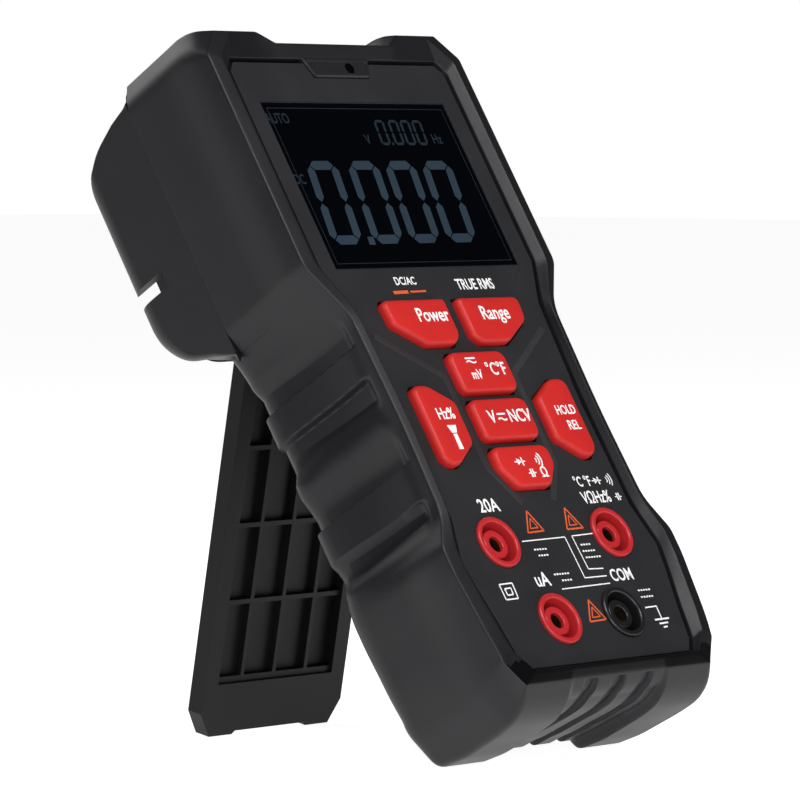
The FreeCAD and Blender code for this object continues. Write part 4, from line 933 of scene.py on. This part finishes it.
NODE_FINISH = {
    "battery_door": "bumper", "front_panel": "panel", "kickstand": "stand_plastic",
    "display_lens": "clear_window", "lcd_glass": "lcd", "backlight": "light_guide",
    "zebra_strip": "silicone", "lcd_frame": "dark_frame", "keypad_membrane": "silicone",
    "key_switches": "switch_metal", "jack_sleeves": "brass", "main_board": "board_green",
    "measuring_chip": "black_plastic", "buzzer": "black_plastic", "fuses": "ceramic",
    "fuse_clips": "brass", "current_shunt": "copper_wire", "surge_discs": "disc_blue",
    "torch_lamp": "clear_window", "field_antenna": "copper_wire", "indicator_lamp": "red_plastic",
    "battery_cells": "cell_metal", "battery_contacts": "spring_steel",
    "case_screws": "screw_steel", "door_screws": "screw_steel", "stand_pins": "screw_steel",
}


def dress_nodes():
    """Materials for every carried-over node, and rounded edges where they show."""
    for node, finish in NODE_FINISH.items():
        mesh = nodes[node].data
        mesh.materials.clear()
        mesh.materials.append(FINISH[finish])
    round_edges("battery_door", 0.3, 2, 40)
    round_edges("kickstand", 0.45, 3, 40)
    round_edges("front_panel", 0.15, 2, 60)


# ------------------------------------------------------------------ stage

FLOOR_REACH, FLOOR_Z, FLOOR_GLOW = 8.0, -0.0002, 0.92
BACKDROP_LIGHT, BACKDROP_SEEN = 0.06, 1.0
# Studio lights: azimuth, elevation, distance, width, height and power.
LIGHTS = {
    "key_light": (-80.0, 48.0, 1.1, 0.8, 0.6, 3.5), "front_light": (-14.0, 54.0, 1.2, 0.6, 0.4, 9.0),
    "rim_light": (-175.0, 30.0, 1.2, 0.6, 0.6, 3.5), "low_light": (-30.0, 8.0, 1.3, 0.9, 0.3, 7.5),
}
AIM = Vector(to_row([(-0.4, 10.97, -24.76)])[0])
AZIMUTH, ELEVATION, DISTANCE = -48.068, 2.792, 1.20244


def direction(azimuth, elevation):
    """From the meter: 0 is straight in front of it, and 90 is on its right as it is seen."""
    a, e = math.radians(azimuth), math.radians(elevation)
    return Vector((math.sin(a) * math.cos(e), -math.cos(a) * math.cos(e), math.sin(e)))


def aim_at_meter(made, back, distance):
    """Puts a camera or a light at a distance from the aim, and turns it to look there."""
    made.location = AIM + back * distance
    made.rotation_mode = "QUATERNION"
    made.rotation_quaternion = (-back).to_track_quat("-Z", "Y")


def add_camera():
    """A long lens, from the meter's left and a little above it."""
    data = bpy.data.cameras.new("camera")
    data.lens, data.sensor_width = 225.0, 36.0
    data.clip_start, data.clip_end = 0.05, 50.0
    camera = link("camera", data)
    aim_at_meter(camera, direction(AZIMUTH, ELEVATION), DISTANCE)
    bpy.context.scene.camera = camera


def add_light(name, azimuth, elevation, distance, width, height, power):
    """A soft rectangular light."""
    data = bpy.data.lights.new(name, "AREA")
    data.shape = "RECTANGLE"
    data.size, data.size_y = width, height
    data.energy = power
    aim_at_meter(link(name, data), direction(azimuth, elevation), distance)


def floor_material():
    """Pale and evenly lit, so that the floor and the backdrop meet without a line."""
    made = material("floor_pale", (0.60, 0.60, 0.60), 0.9, 5.0, 0.001, 0.01, level=0.0)
    shader = next(node for node in made.node_tree.nodes if node.type == "BSDF_PRINCIPLED")
    shader.inputs["Emission Color"].default_value = (1, 1, 1, 1)
    shader.inputs["Emission Strength"].default_value = FLOOR_GLOW
    return made


def add_stage():
    """The floor, a white backdrop that lights the meter only a little, and the studio lights."""
    mesh = bpy.data.meshes.new("floor")
    corners = ((-1, -1), (1, -1), (1, 1), (-1, 1))
    mesh.from_pydata([(x * FLOOR_REACH, y * FLOOR_REACH, FLOOR_Z) for x, y in corners], [], [(0, 1, 2, 3)])
    floor = link("floor", mesh)
    mesh.materials.append(floor_material())
    world = bpy.data.worlds.new("studio")
    world.use_nodes = True
    tree = world.node_tree
    backdrop = tree.nodes["Background"]
    backdrop.inputs["Color"].default_value = (1, 1, 1, 1)
    seen = tree.nodes.new("ShaderNodeLightPath")
    strength = tree.nodes.new("ShaderNodeMapRange")
    strength.inputs["To Min"].default_value = BACKDROP_LIGHT
    strength.inputs["To Max"].default_value = BACKDROP_SEEN
    tree.links.new(seen.outputs["Is Camera Ray"], strength.inputs["Value"])
    tree.links.new(strength.outputs[0], backdrop.inputs["Strength"])
    bpy.context.scene.world = world
    bpy.context.scene.view_settings.view_transform = "Standard"
    for name, numbers in LIGHTS.items():
        add_light(name, *numbers)


# ------------------------------------------------------------------ build

front_case()
rear_case()
for key_node, (key_body, key_points) in KEYS.items():
    key_cap(key_node, key_body, key_points)
for jack_node, (jack_x, jack_y, jack_finish) in JACKS.items():
    jack(jack_node, jack_x, jack_y, jack_finish)
sensor_window()
display()
legends()
key_legends()
relief()
dress_nodes()
add_camera()
add_stage()
